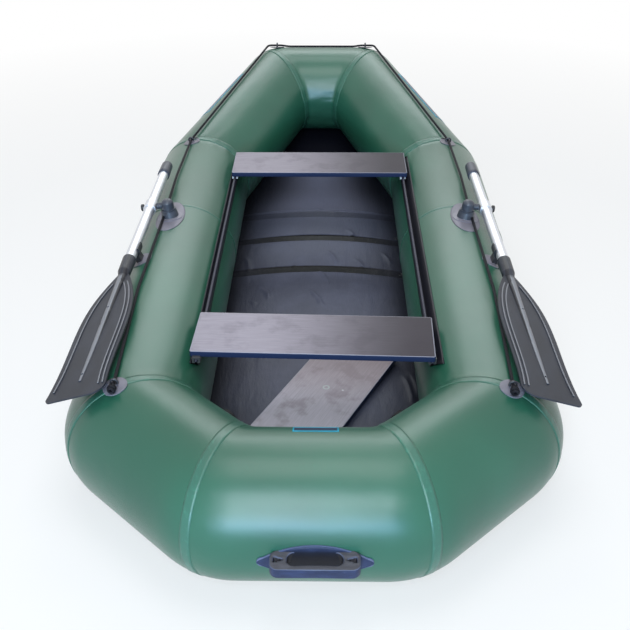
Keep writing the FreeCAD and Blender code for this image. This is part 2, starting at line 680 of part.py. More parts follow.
def oar_grip():
    """The hand grip: a closed sleeve with a flange and finger rings, turned about the shaft's axis."""
    inner = SHAFT_RADIUS + SLEEVE_GAP
    root = -GRIP_END + GRIP_LENGTH
    points = [(root, inner), (root, GRIP_FLANGE_RADIUS), (root - GRIP_FLANGE, GRIP_FLANGE_RADIUS)]
    pitch = (GRIP_LENGTH - GRIP_FLANGE - GRIP_ROUNDING) / GRIP_RINGS
    valley = (GRIP_RADIUS + inner) / 2
    for ring in range(GRIP_RINGS):
        start = root - GRIP_FLANGE - ring * pitch
        points.append((start - pitch * GRIP_VALLEY_START, valley))
        points.append((start - pitch * GRIP_RING_START, GRIP_RADIUS))
        points.append((start - pitch * GRIP_RING_END, GRIP_RADIUS))
    points.append((-GRIP_END + GRIP_ROUNDING, GRIP_FLANGE_RADIUS))
    points.append((-GRIP_END, GRIP_END_RADIUS))
    points.append((-GRIP_END, 0))
    points.append((-GRIP_END + GRIP_END_WALL, 0))
    points.append((-GRIP_END + GRIP_END_WALL, inner))
    section = [FreeCAD.Vector(station, OAR_OFFSET + radius, 0) for station, radius in points]
    outline = Part.makePolygon(section + [section[0]])
    grip = Part.Face(outline).revolve(FreeCAD.Vector(0, OAR_OFFSET, 0), AXIS_X, 360)
    return in_oar(grip)


BLADE_THROAT = SOCKET_START + SOCKET_LENGTH


def blade_edge(end_station, inset):
    """Points of the blade's outline from the flare below the throat on: the station and the half width."""
    shoulder = BLADE_THROAT + BLADE_SHOULDER
    middle = (shoulder + BLADE_TIP) / 2
    widening = (BLADE_TIP_HALF_WIDTH - BLADE_MIDDLE_HALF_WIDTH) / (BLADE_TIP - middle)
    return [
        (BLADE_THROAT + BLADE_FLARE, BLADE_FLARE_HALF_WIDTH - inset),
        (shoulder, BLADE_SHOULDER_HALF_WIDTH - inset),
        (middle, BLADE_MIDDLE_HALF_WIDTH - inset),
        (end_station, BLADE_MIDDLE_HALF_WIDTH + widening * (end_station - middle) - inset)]


def flat_between(curves, height):
    """A plate of even height between two flowing edges, each given by its points, centred on z = 0."""
    splines = []
    for points in curves:
        curve = Part.BSplineCurve()
        curve.interpolate([FreeCAD.Vector(station, half, -height / 2) for station, half in points])
        splines.append(curve)
    first, second = splines
    edges = [
        first.toShape(),
        Part.LineSegment(first.EndPoint, second.StartPoint).toShape(),
        second.toShape(),
        Part.LineSegment(second.EndPoint, first.StartPoint).toShape()]
    return Part.Face(Part.Wire(edges)).extrude(AXIS_Z * height)


def blade_plate():
    """The flat of the blade: two flowing sides and a straight tip with a sharper outboard corner."""
    throat = (BLADE_THROAT - SPINE_ROOT_RADIUS, BLADE_THROAT_HALF_WIDTH)
    side = [throat] + blade_edge(BLADE_TIP, 0)
    other = [(station, -half) for station, half in reversed(side)]
    plate = flat_between([side, other], BLADE_THICKNESS)
    tip = [e for e in plate.Edges if e.BoundBox.XMin > BLADE_TIP - BLADE_THICKNESS]
    upright = [e for e in tip if e.BoundBox.YLength < BLADE_THICKNESS]
    plate = plate.makeFillet(BLADE_OUTER_CORNER, [e for e in upright if e.BoundBox.YMin > 0])
    tip = [e for e in plate.Edges if e.BoundBox.XMin > BLADE_TIP - BLADE_THICKNESS]
    return plate.makeFillet(BLADE_INNER_CORNER, [
        e for e in tip if e.BoundBox.YLength < BLADE_THICKNESS and e.BoundBox.YMax < 0])


def blade_ribs():
    """Raised ribs on both faces that follow the blade's edges: one outboard and two inboard."""
    ribs = []
    for side, insets in ((1, OUTER_RIB_INSETS), (-1, INNER_RIB_INSETS)):
        for inset in insets:
            near = blade_edge(BLADE_TIP - RIB_TO_TIP, inset)
            far = blade_edge(BLADE_TIP - RIB_TO_TIP, inset + RIB_WIDTH)
            curves = [
                [(station, side * half) for station, half in near],
                [(station, side * half) for station, half in reversed(far)]]
            ribs.append(flat_between(curves, BLADE_THICKNESS + 2 * RIB_HEIGHT))
    return ribs


def oar_blade():
    """The moulded blade with its socket, tapering spine, ribs and small holes."""
    spine_end = BLADE_TIP - SPINE_TO_TIP
    spine_start = SOCKET_START + SOCKET_DEPTH
    spine_foot = FreeCAD.Vector(spine_start, 0, 0)
    spine = Part.makeCone(SPINE_ROOT_RADIUS, SPINE_END_RADIUS, spine_end - spine_start, spine_foot, AXIS_X)
    sleeve_radius = SHAFT_RADIUS + SLEEVE_GAP + SOCKET_WALL
    sleeve_end = SOCKET_START + SOCKET_DEPTH + 2 * SOCKET_WALL
    sleeve = Part.makeCone(
        SOCKET_RADIUS, sleeve_radius, sleeve_end - SOCKET_START, FreeCAD.Vector(SOCKET_START, 0, 0), AXIS_X)
    shoulder = Part.makeCone(
        sleeve_radius, SPINE_ROOT_RADIUS, BLADE_THROAT - sleeve_end, FreeCAD.Vector(sleeve_end, 0, 0), AXIS_X)
    blade = fused([blade_plate(), spine, sleeve, shoulder] + blade_ribs())
    bore = Part.makeCylinder(
        SHAFT_RADIUS + SLEEVE_GAP, SOCKET_DEPTH, FreeCAD.Vector(SOCKET_START, 0, 0), AXIS_X)
    blade = blade.cut(bore)
    for station in BLADE_HOLE_STATIONS:
        foot = FreeCAD.Vector(station, 0, -SPINE_ROOT_RADIUS)
        blade = blade.cut(Part.makeCylinder(BLADE_HOLE_RADIUS, 2 * SPINE_ROOT_RADIUS, foot, AXIS_Z))
    blade.rotate(ORIGIN, AXIS_X, -BLADE_ROLL)
    blade.translate(FreeCAD.Vector(0, OAR_OFFSET, 0))
    return in_oar(blade)


def clip_cradle():
    """The clip's section round the shaft: a jaw inboard, a floor, and a lip laid open outboard."""
    inner = SHAFT_RADIUS + CLIP_GAP
    outer = inner + CLIP_WALL

    def at(radius, degrees):
        angle = math.radians(degrees)
        return FreeCAD.Vector(0, radius * math.cos(angle), radius * math.sin(angle))

    middle = (CLIP_JAW_ANGLE + 270) / 2
    lip_inner = FreeCAD.Vector(0, CLIP_LIP_LENGTH, -inner - CLIP_LIP_DROP)
    lip_outer = FreeCAD.Vector(0, CLIP_LIP_LENGTH, -outer - CLIP_LIP_DROP)
    edges = [
        Part.Arc(at(inner, CLIP_JAW_ANGLE), at(inner, middle), at(inner, 270)).toShape(),
        Part.LineSegment(at(inner, 270), lip_inner).toShape(),
        Part.LineSegment(lip_inner, lip_outer).toShape(),
        Part.LineSegment(lip_outer, at(outer, 270)).toShape(),
        Part.Arc(at(outer, 270), at(outer, middle), at(outer, CLIP_JAW_ANGLE)).toShape(),
        Part.LineSegment(at(outer, CLIP_JAW_ANGLE), at(inner, CLIP_JAW_ANGLE)).toShape()]
    cradle = Part.Face(Part.Wire(edges)).extrude(AXIS_X * CLIP_LENGTH)
    cradle.translate(FreeCAD.Vector(CLIP_STATION - CLIP_LENGTH / 2, OAR_OFFSET, 0))
    return in_oar(cradle)


def oar_clip():
    """The clip that holds the stowed oar: a patch on the tube, a pillar and the cradle."""
    centre = shaft_point(CLIP_STATION)
    angle = math.degrees(math.atan2(centre.x - SIDE_AXIS_X, centre.z - AXIS_HEIGHT))
    normal = side_normal(angle)
    surface = side_point(angle, centre.y, 0)
    patch = skin_patch(round_prism(surface, normal, CLIP_PATCH_RADIUS), [SIDE_AFT], PATCH_THICKNESS)
    top = SHAFT_RADIUS + CLIP_GAP + CLIP_WALL / 2
    height = (centre - surface).Length - top + ROOT_DEPTH / 2
    pillar = Part.makeBox(
        CLIP_PILLAR_WIDTH, CLIP_PILLAR_LENGTH, height,
        FreeCAD.Vector(-CLIP_PILLAR_WIDTH / 2, -CLIP_PILLAR_LENGTH / 2, -top - height))
    lateral = FreeCAD.Vector(normal.z, 0, -normal.x)
    pillar = in_frame(pillar, centre, lateral, AXIS_Y, normal)
    return fused([patch, off_tubes(pillar, [SIDE_AFT]), clip_cradle()])


def corner_eye_station():
    """Where the corner eye sits: on the side tube, just aft of the bow seam."""
    normal = mitre(BOW_QUARTER)
    offset = side_normal(CORNER_EYE_ANGLE) * TUBE_RADIUS
    seam = SIDE_FORE_Y - (offset.x * normal.x + offset.z * normal.z) / normal.y
    return seam - CORNER_EYE_SETBACK


def bow_normal():
    return FreeCAD.Vector(0, math.sin(math.radians(BOW_EYE_ANGLE)), math.cos(math.radians(BOW_EYE_ANGLE)))


def bow_line_point(x):
    """A point of the grab line along the bow tube."""
    axis_point = FreeCAD.Vector(x, BOW_AXIS_Y, AXIS_HEIGHT + BOW_RISE)
    return axis_point + bow_normal() * (TUBE_RADIUS + ROPE_LIFT)


def bow_bend_x():
    """Where the grab line turns at the bow: on the mitre between the bow tube and its quarter."""
    normal = mitre(BOW)
    offset = bow_normal() * (TUBE_RADIUS + ROPE_LIFT)
    return BOW_CORNER_X - (offset.y * normal.y + offset.z * normal.z) / normal.x


BOW_BEND_X = bow_bend_x()
BOW_EYE_X = BOW_BEND_X - BOW_EYE_SETBACK


def rope_eye(rope_point, normal, rope_direction, runs):
    """A round patch with a ring that stands across the grab line."""
    surface = rope_point - normal * ROPE_LIFT
    patch = skin_patch(round_prism(surface, normal, EYE_PATCH_RADIUS), runs, PATCH_THICKNESS)
    ring = Part.makeTorus(EYE_RING_RADIUS, EYE_WIRE_RADIUS, rope_point, rope_direction)
    return fused([patch, off_tubes(ring, runs)])


def rope_eyes():
    """The six eyes of the grab line."""
    stern_normal = side_normal(STERN_EYE_ANGLE)
    stern_point = side_point(STERN_EYE_ANGLE, STERN_EYE_Y, ROPE_LIFT)
    corner_normal = side_normal(CORNER_EYE_ANGLE)
    corner_point = side_point(CORNER_EYE_ANGLE, corner_eye_station(), ROPE_LIFT)
    starboard = {
        "rope_eye_stern_right": rope_eye(stern_point, stern_normal, AXIS_Y, [STERN_QUARTER, SIDE_AFT]),
        "rope_eye_side_right": rope_eye(corner_point, corner_normal, AXIS_Y, [SIDE_FORE, BOW_QUARTER]),
        "rope_eye_bow_right": rope_eye(bow_line_point(BOW_EYE_X), bow_normal(), AXIS_X, [BOW, BOW_QUARTER])}
    eyes = {}
    for name, eye in starboard.items():
        eyes[name] = eye
        eyes[name.replace("right", "left")] = mirrored(eye)
    return eyes


def rounded_path(points, radii):
    """Straight runs through the points, with a tangent arc of the given radius at each inner point."""
    edges = []
    last = points[0]
    for before, point, after, radius in zip(points, points[1:], points[2:], radii):
        back = unit(before - point)
        ahead = unit(after - point)
        half_turn = (math.pi - back.getAngle(ahead)) / 2
        setback = radius * math.tan(half_turn)
        inward = unit(back + ahead)
        start = point + back * setback
        end = point + ahead * setback
        middle = point + inward * (radius / math.cos(half_turn) - radius)
        edges.append(Part.LineSegment(last, start).toShape())
        edges.append(Part.Arc(start, middle, end).toShape())
        last = end
    edges.append(Part.LineSegment(last, points[-1]).toShape())
    return Part.Wire(edges)


def swept_round(path, radius):
    """A round bar along a path."""
    first = path.Edges[0]
    direction = first.tangentAt(first.FirstParameter)
    circle = Part.Wire(Part.makeCircle(radius, path.Vertexes[0].Point, direction))
    return path.makePipeShell([circle], True, True)


def grab_line():
    """The taut line through the eyes and the oarlock bosses, with a knot at each end."""
    stern_eye = side_point(STERN_EYE_ANGLE, STERN_EYE_Y, ROPE_LIFT)
    starboard = [
        stern_eye - AXIS_Y * ROPE_TAIL,
        stern_eye,
        side_point(SPAN_ANGLE, (STERN_EYE_Y + LOCK_Y) / 2, ROPE_LIFT),
        rope_in_boss(),
        side_point(SPAN_ANGLE, (LOCK_Y + corner_eye_station()) / 2, ROPE_LIFT),
        side_point(CORNER_EYE_ANGLE, corner_eye_station(), ROPE_LIFT),
        bow_line_point(BOW_BEND_X)]
    port = [FreeCAD.Vector(-p.x, p.y, p.z) for p in reversed(starboard)]
    bends = [EYE_BEND_RADIUS] + [SPAN_BEND_RADIUS] * 3 + [EYE_BEND_RADIUS, BOW_BEND_RADIUS]
    line = swept_round(rounded_path(starboard + port, bends + bends[::-1]), ROPE_RADIUS)
    knots = [Part.makeSphere(KNOT_RADIUS, end) for end in (starboard[0], port[-1])]
    return fused([line] + knots)


def lens_plate(length, width, end_radius, height):
    """A plate with two long arched sides and small round ends, standing on z = 0."""
    tip = length / 2 - end_radius
    sides = []
    for side in (1, -1):
        start = FreeCAD.Vector(-side * tip, side * end_radius, 0)
        crown = FreeCAD.Vector(0, side * width / 2, 0)
        end = FreeCAD.Vector(side * tip, side * end_radius, 0)
        far = FreeCAD.Vector(side * length / 2, 0, 0)
        after = FreeCAD.Vector(side * tip, -side * end_radius, 0)
        sides.append(Part.Arc(start, crown, end).toShape())
        sides.append(Part.Arc(end, far, after).toShape())
    return Part.Face(Part.Wire(sides)).extrude(AXIS_Z * height)


def handle_bridge():
    """The grip as a moulded bridge: feet that flare to the patch, a flat bar and a long round-ended slot."""
    foot = HANDLE_FOOT_SPAN / 2
    bar = HANDLE_BAR_SPAN / 2
    low = -ROOT_DEPTH / 2
    sag = FreeCAD.Vector((foot + bar) / 2 - HANDLE_EDGE_RADIUS, 0, HANDLE_STANDOFF / 2 - HANDLE_EDGE_RADIUS)
    other_sag = FreeCAD.Vector(-sag.x, 0, sag.z)
    points = [
        FreeCAD.Vector(-bar, 0, HANDLE_STANDOFF), FreeCAD.Vector(bar, 0, HANDLE_STANDOFF),
        FreeCAD.Vector(foot, 0, 0), FreeCAD.Vector(foot, 0, low),
        FreeCAD.Vector(-foot, 0, low), FreeCAD.Vector(-foot, 0, 0)]
    edges = [
        Part.LineSegment(points[0], points[1]).toShape(),
        Part.Arc(points[1], sag, points[2]).toShape(),
        Part.LineSegment(points[2], points[3]).toShape(),
        Part.LineSegment(points[3], points[4]).toShape(),
        Part.LineSegment(points[4], points[5]).toShape(),
        Part.Arc(points[5], other_sag, points[0]).toShape()]
    bridge = Part.Face(Part.Wire(edges)).extrude(AXIS_Y * HANDLE_WIDTH)
    bridge.translate(AXIS_Y * (-HANDLE_WIDTH / 2))
    raised = [e for e in bridge.Edges if e.BoundBox.ZMax > HANDLE_STANDOFF / 2]
    rims = [e for e in raised if e.BoundBox.YLength < HANDLE_WIDTH / 2]
    bridge = bridge.makeFillet(HANDLE_EDGE_RADIUS, rims)
    slot_top = HANDLE_STANDOFF - HANDLE_BAR_THICKNESS
    slot = Part.makeBox(
        HANDLE_SLOT_SPAN, 2 * HANDLE_WIDTH, HANDLE_SLOT_DEPTH,
        FreeCAD.Vector(-HANDLE_SLOT_SPAN / 2, -HANDLE_WIDTH, slot_top - HANDLE_SLOT_DEPTH))
    ends = [e for e in slot.Edges if e.BoundBox.YLength > HANDLE_WIDTH]
    slot = slot.makeFillet(HANDLE_SLOT_DEPTH / 2 - SLEEVE_GAP, ends)
    return bridge.cut(slot)


def carry_handle():
    """A moulded patch with its grip, lying on the stern tube with its length along X."""
    drop = math.radians(HANDLE_DROP_ANGLE)
    out = FreeCAD.Vector(0, -math.cos(drop), -math.sin(drop))
    up = FreeCAD.Vector(0, -math.sin(drop), math.cos(drop))
    centre = FreeCAD.Vector(0, 0, AXIS_HEIGHT) + out * TUBE_RADIUS
    plate = lens_plate(HANDLE_PATCH_LENGTH, HANDLE_PATCH_WIDTH, HANDLE_PATCH_END, 3 * ROOT_DEPTH)
    plate.translate(AXIS_Z * -2 * ROOT_DEPTH)
    plate = in_frame(plate, centre, AXIS_X, up, out)
    patch = skin_patch(plate, [STERN], HANDLE_PATCH_THICKNESS)
    grip = in_frame(handle_bridge(), centre, AXIS_X, up, out)
    return fused([patch, off_tubes(grip, [STERN])])


def bow_handle(stern_handle):
    """The same handle at the bow, turned round and lifted to the raised bow tube."""
    handle = stern_handle.copy()
    handle.rotate(ORIGIN, AXIS_Z, 180)
    handle.translate(FreeCAD.Vector(0, BOW_AXIS_Y, BOW_RISE))
    return handle


def air_valve():
    """A valve with its cap on the inner face of the starboard stern quarter."""
    start = CORNERS[STERN_QUARTER]
    middle = (start + CORNERS[SIDE_AFT]) * 0.5
    inward = turned(along(STERN_QUARTER), AXIS_Z, 90)
    up = math.radians(VALVE_UP_ANGLE)
    normal = inward * math.cos(up) + AXIS_Z * math.sin(up)
    root = middle + normal * (TUBE_RADIUS - ROOT_DEPTH)
    flange = Part.makeCylinder(VALVE_FLANGE_RADIUS, ROOT_DEPTH + VALVE_FLANGE_HEIGHT, root, normal)
    cap = Part.makeCylinder(VALVE_CAP_RADIUS, ROOT_DEPTH + VALVE_CAP_HEIGHT, root, normal)
    return off_tubes(fused([flange, cap]), [STERN_QUARTER])


def both_sides(name, shape):
    """A starboard piece and its port twin."""
    return {name + "_right": shape, name + "_left": mirrored(shape)}


def boat():
    """Every piece of the boat by its name."""
    pieces = {}
    pieces.update(hull_tubes())
    pieces.update(bottom_sheet())
    pieces["floor_mat"] = floor_mat()
    pieces["floor_plank"] = floor_plank()
    pieces.update(both_sides("seat_rail", seat_rail()))
    pieces.update(seat("seat_aft", AFT_SEAT_Y))
    pieces.update(seat("seat_fore", FORE_SEAT_Y))
    pieces.update(both_sides("oarlock_base", oarlock_base()))
    pieces.update(both_sides("oarlock_head", oarlock_head()))
    pieces.update(both_sides("oar_pin", oar_pin()))
    pieces.update(both_sides("oar_shaft", oar_shaft()))
    pieces.update(both_sides("oar_collar", oar_collar()))
    pieces.update(both_sides("oar_grip", oar_grip()))
    pieces.update(both_sides("oar_blade", oar_blade()))
    pieces.update(both_sides("oar_clip", oar_clip()))
    pieces.update(rope_eyes())
    pieces["grab_line"] = grab_line()
    stern_handle = carry_handle()
    pieces["handle_stern"] = stern_handle
    pieces["handle_bow"] = bow_handle(stern_handle)
    pieces.update(both_sides("air_valve", air_valve()))
    return pieces


os.makedirs("parts", exist_ok=True)
for node, shape in boat().items():
    finished = shape.copy()
    finished.translate(AXIS_Y * (-BOW_AXIS_Y / 2))
    finished.exportStep(os.path.join("parts", node + ".step"))
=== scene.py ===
import itertools
import math

import bpy
import numpy as np
from bpy.props import FloatProperty, FloatVectorProperty, IntProperty, PointerProperty
from mathutils import Matrix, Vector


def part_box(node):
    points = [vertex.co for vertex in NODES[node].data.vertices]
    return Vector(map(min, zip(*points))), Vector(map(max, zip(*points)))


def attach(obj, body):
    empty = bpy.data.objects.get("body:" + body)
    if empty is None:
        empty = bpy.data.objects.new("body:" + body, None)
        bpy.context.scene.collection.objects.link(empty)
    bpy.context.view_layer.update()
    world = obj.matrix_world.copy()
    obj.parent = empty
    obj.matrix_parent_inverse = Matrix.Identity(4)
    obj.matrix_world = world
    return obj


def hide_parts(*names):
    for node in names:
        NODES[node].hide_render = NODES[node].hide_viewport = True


bl_info = {
    "name": "Inflatable Rowing Boat",
    "version": (1, 0, 0),
    "blender": (4, 5, 0),
    "location": "View3D > Sidebar > Rowing Boat",
    "description": "Dresses the packed rowing boat with inflated skins, a line, a mat and finishes",
    "category": "Object",
}

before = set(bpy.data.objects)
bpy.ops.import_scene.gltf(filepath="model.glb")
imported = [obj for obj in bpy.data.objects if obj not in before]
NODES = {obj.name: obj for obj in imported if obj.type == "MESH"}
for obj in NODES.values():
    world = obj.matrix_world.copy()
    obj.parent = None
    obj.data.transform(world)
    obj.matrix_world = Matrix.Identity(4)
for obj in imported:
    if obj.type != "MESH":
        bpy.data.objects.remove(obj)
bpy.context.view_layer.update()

# Sizes that the frame gives, in metres
SIDE_LOW, SIDE_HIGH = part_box("tube_side_right_aft")
STERN_LOW, STERN_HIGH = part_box("tube_stern")
BOW_LOW, BOW_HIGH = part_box("tube_bow")
MAT_LOW, MAT_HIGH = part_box("floor_mat")
ROPE_LOW, ROPE_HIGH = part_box("grab_line")
TUBE_RADIUS = (SIDE_HIGH.x - SIDE_LOW.x) / 2
SIDE_AXIS_X = (SIDE_HIGH.x + SIDE_LOW.x) / 2
AXIS_HEIGHT = (SIDE_HIGH.z + SIDE_LOW.z) / 2
SEAM_Y = SIDE_HIGH.y
STERN_AXIS_Y = STERN_LOW.y + TUBE_RADIUS
BOW_AXIS_Y = BOW_HIGH.y - TUBE_RADIUS
BOW_AXIS_HEIGHT = (BOW_LOW.z + BOW_HIGH.z) / 2

# Corners of the tube ring's axis that the boxes don't show
STERN_CORNER_X = 0.194
BOW_CORNER_X = 0.165
STERN_QUARTER_REACH = 0.244
SIDE_FORE_LENGTH = 0.603
SIDE_AFT_Y = STERN_AXIS_Y + STERN_QUARTER_REACH
SIDE_FORE_Y = SEAM_Y + SIDE_FORE_LENGTH

# The rails' sections, the angles from outward at which their strips end, and the form of the boards
RAIL_X = 0.2975
BEAD_Z = 0.300
BEAD_RADIUS = 0.004
WEB_THICKNESS = 0.0025
RAIL_THICKNESS = 0.0028
RAIL_SINK = 0.0005
STRIP_ENDS = (132.5, 138.0)
BOARD_BEVEL = 0.0015
BOARD_SHIFT = 0.002
PLANK_CORNER = 0.006

# The mat's bands with their depths' shares, its eyelets, and the form of its bands, waves and folds
MAT_BANDS = ((0.1277, 1.0), (0.3696, 1.0), (0.5745, 0.45))
EYELETS = (("fore", (0.2900, 0.410)), ("aft", (0.2885, 0.136)))
EYELET_RADIUS = 0.0075
EYELET_SECTION = (0.0025, 0.0012)
BAND_EASE = 0.005
WAVE_HEIGHT = 0.0006
COVER_SINK = 0.002
FOLD_BOW = 0.006
FOLD_RUN_OUT = 0.015
FOLD_FADE = 0.05

# Folds of the mat's cover, each from one point (x, y) to another, and its height
MAT_FOLDS = (
    ((0.079, 0.919), (0.172, 0.610), 0.0030), ((0.189, 0.732), (0.207, 0.600), 0.0025),
    ((0.003, 0.659), (-0.007, 0.590), 0.0020), ((0.107, 0.444), (0.129, 0.366), 0.0035),
    ((0.133, 0.205), (0.154, 0.136), 0.0035), ((0.086, 0.135), (0.118, 0.122), 0.0025),
    ((0.033, 0.261), (0.066, 0.162), 0.0035), ((-0.028, -0.023), (0.016, -0.133), 0.0040),
    ((-0.192, 0.001), (-0.163, -0.074), 0.0035), ((-0.225, -0.075), (-0.210, -0.111), 0.0025),
    ((0.002, 0.107), (0.034, 0.016), 0.0035), ((0.259, -0.504), (0.276, -0.642), 0.0040),
    ((0.282, -0.484), (0.295, -0.597), 0.0030), ((-0.090, 0.134), (-0.071, 0.161), 0.0025),
    ((-0.267, 0.244), (-0.246, 0.132), 0.0030), ((0.229, 0.278), (0.258, 0.192), 0.0030),
    ((-0.163, -0.074), (-0.153, -0.024), 0.0025), ((-0.100, -0.330), (-0.060, -0.420), 0.0025),
    ((0.150, -0.250), (0.185, -0.360), 0.0025))

# Runs of the ring, each from the corner with its own number to the next
STERN_QUARTER, SIDE_AFT, SIDE_FORE, BOW_QUARTER, BOW = range(5)
STERN = 9
RUN_NODES = (
    "tube_stern_right", "tube_side_right_aft", "tube_side_right_fore", "tube_bow_right", "tube_bow",
    "tube_bow_left", "tube_side_left_fore", "tube_side_left_aft", "tube_stern_left", "tube_stern")

# Sides of the boat, each with the factor that mirrors x, and two directions
SIDES = (("right", 1), ("left", -1))
AHEAD = np.array((0.0, 1.0, 0.0))
UP = np.array((0.0, 0.0, 1.0))

# Lean of the lock's stem and roll of the blade
LOCK_LEAN = math.radians(8.0)
BLADE_ROLL = math.radians(9.0)

# The grips' caps: the dome's length, the foot's bevel and sleeve, and the sleeve's radius by the grip's
CAP_DOME = 0.015
CAP_BEVEL = 0.001
CAP_SLEEVE = 0.02
CAP_WIDER = 1.05

# The grab line: degrees outboard of the tubes' tops, distances, and the radii of the arcs at its corners
EYE_ANGLE = 8.0
SPAN_ANGLE = 15.0
SIDE_EYE_ANGLE = 12.0
BOW_EYE_ANGLE = 16.0
EYE_SETBACK = 0.030
TAIL_LENGTH = 0.030
LOCK_SETBACK = 0.074
LOCK_STANDOFF = 0.017
BOW_EYE_ASIDE = 0.037
LINE_GAP = 0.0003
LYING_INSET = 0.012
LYING_EASE = 0.045
KNOT_SHIFT = 0.004
KNOT_STRAND = 0.8
ROUTE_RADII = (0.06, 0.4, 0.4, 0.4, 0.06, 0.018)

# Thin pieces on the tubes: how far they reach under and over the skin, and how much of a leaf is made
PATCH_SINK = 0.001
PLATE_SINK = 0.0005
OVAL_LIFT = 0.0014
RIM_LIFT = 0.0009
FIELD_LIFT = 0.0012
LEAF_SHARE = 0.9995

# The handle: its patch's eased edge, the groove near the outline, and the triangular pockets beside its slot
LENS_EASE = 0.002
GROOVE_HALF = 0.0015
GROOVE_DEPTH = 0.0012
GROOVE_INSET = 0.006
POCKET_WALL = 0.006
POCKET_SLOPE = 0.33
POCKET_EASE = 0.004
WEDGE_EASE = 0.0025

# Resolution of the modelled surfaces
ROUND_STEPS = 120
RUN_STEPS = 64
TAPE_STEPS = 5
ROPE_SIDES = 14
KNOT_SIDES = 10
ROPE_STEP = 0.004
MAT_ROWS = 380
MAT_COLUMNS = 125
PATCH_STEPS = (28, 16)
OVAL_STEPS = (60, 17)
LENS_STEPS = (90, 25)
GRIP_STEPS = 200


def unit(vectors):
    """Vectors divided by their lengths, along the last axis."""
    return vectors / np.linalg.norm(vectors, axis=-1, keepdims=True)


def smooth_step(value):
    """0 below 0, 1 above 1 and 3t^2 - 2t^3 between."""
    t = np.clip(value, 0, 1)
    return t * t * (3 - 2 * t)


# Meshes from grids


def grid_quads(rows, columns, round_rows, round_columns):
    """Corner numbers (row, column) of a grid's quads, with the last row or column joined to the first."""
    r, c = np.meshgrid(
        np.arange(rows - (not round_rows)), np.arange(columns - (not round_columns)), indexing="ij")
    steps = ((0, 0), (0, 1), (1, 1), (1, 0))
    row = np.stack([r + dr for dr, dc in steps], -1).reshape(-1, 4)
    column = np.stack([c + dc for dr, dc in steps], -1).reshape(-1, 4)
    return row, column


def new_mesh_object(name, points, faces, corner_uv=None, point_uv=None):
    """A smooth mesh object from points and faces, with an optional map by face corner or by point."""
    mesh = bpy.data.meshes.new(name)
    mesh.from_pydata(np.asarray(points).reshape(-1, 3).tolist(), [], faces)
    mesh.shade_smooth()
    if point_uv is not None:
        corners = np.empty(len(mesh.loops), np.int32)
        mesh.loops.foreach_get("vertex_index", corners)
        corner_uv = np.asarray(point_uv)[corners]
    if corner_uv is not None:
        layer = mesh.uv_layers.new(name="UVMap")
        layer.data.foreach_set("uv", np.asarray(corner_uv, np.float32).ravel())
    made = bpy.data.objects.new(name, mesh)
    bpy.context.scene.collection.objects.link(made)
    return made


def tube_mesh(name, grid, uv=None, round_rows=False, flat_map=None):
    """A closed tube from a grid of rings, its ends joined to each other or each closed by a fan.

    grid[row, column] is a point. uv[row, column] is its place on a map that is cut along the tube, with one
    column more than grid and, where the ends are joined, one row more. flat_map turns points into a map
    without a cut.
    """
    rows, columns = grid.shape[:2]
    row, column = grid_quads(rows, columns, round_rows, True)
    quads = (row % rows) * columns + column % columns
    points = grid.reshape(-1, 3)
    faces = quads.tolist()
    corner_uv = None if uv is None else uv[row, column].reshape(-1, 2)
    if not round_rows:
        ring = np.arange(columns)
        last = ring + (rows - 1) * columns
        start = np.stack([np.roll(ring, -1), ring, np.full(columns, len(points))], -1)
        end = np.stack([last, np.roll(last, -1), np.full(columns, len(points) + 1)], -1)
        faces += np.concatenate([start, end]).tolist()
        points = np.concatenate([points, grid[0].mean(0)[None], grid[-1].mean(0)[None]])
        if uv is not None:
            corner_uv = np.concatenate([corner_uv, np.zeros((columns * 6, 2))])
    return new_mesh_object(name, points, faces, corner_uv, None if flat_map is None else flat_map(points))


def slab_mesh(name, top, bottom, uv=None):
    """A closed plate between two grids of one shape. Seen from above, rows run away and columns right."""
    rows, columns = top.shape[:2]
    row, column = grid_quads(rows, columns, False, False)
    quads = row * columns + column
    count = rows * columns
    index = np.arange(count).reshape(rows, columns)
    rim = np.concatenate([index[0, :-1], index[:-1, -1], index[-1, :0:-1], index[:0:-1, 0]])
    following = np.roll(rim, -1)
    sides = np.stack([following, following + count, rim + count, rim], -1)
    faces = np.concatenate([quads, quads[:, ::-1] + count, sides])
    points = np.concatenate([top.reshape(-1, 3), bottom.reshape(-1, 3)])
    point_uv = None if uv is None else np.concatenate([uv.reshape(-1, 2)] * 2)
    return new_mesh_object(name, points, faces.tolist(), None, point_uv)


def face_outwards(made):
    """Turns the faces of a closed mesh outwards if its signed volume is negative."""
    mesh = made.data
    mesh.calc_loop_triangles()
    points = np.empty(len(mesh.vertices) * 3)
    mesh.vertices.foreach_get("co", points)
    corners = np.empty(len(mesh.loop_triangles) * 3, np.int32)
    mesh.loop_triangles.foreach_get("vertices", corners)
    a, b, c = points.reshape(-1, 3)[corners].reshape(-1, 3, 3).transpose(1, 0, 2)
    if (a * np.cross(b, c)).sum() < 0:
        mesh.flip_normals()


def turns(count):
    """Angles of a whole turn in equal steps, without its end."""
    return np.linspace(0, 2 * np.pi, count, endpoint=False)


def wrapped_map(radius, steps, along):
    """A tube's map that is cut along it: metres round it in equal steps, and metres along it."""
    around = np.linspace(0, 2 * np.pi * radius, steps + 1)
    return np.stack(np.broadcast_arrays(around, along), -1)


def dress(made, body, slot, finish, *nodes):
    """Turns a piece's faces outwards, gives it its finish and body, and hides the nodes that it stands for.
    The slot is not used.
    """
    face_outwards(made)
    made.data.materials.append(finish)
    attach(made, body)
    if nodes:
        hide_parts(*nodes)


def refinish(finish, *names):
    """Gives CAD nodes a finish, with their shapes as they are. A * in a name stands for each side."""
    for name, (side, _) in itertools.product(names, SIDES):
        node = NODES[name.replace("*", side)]
        if not node.material_slots:
            node.data.materials.append(None)
        for place in node.material_slots:
            place.material = finish


# The tube ring


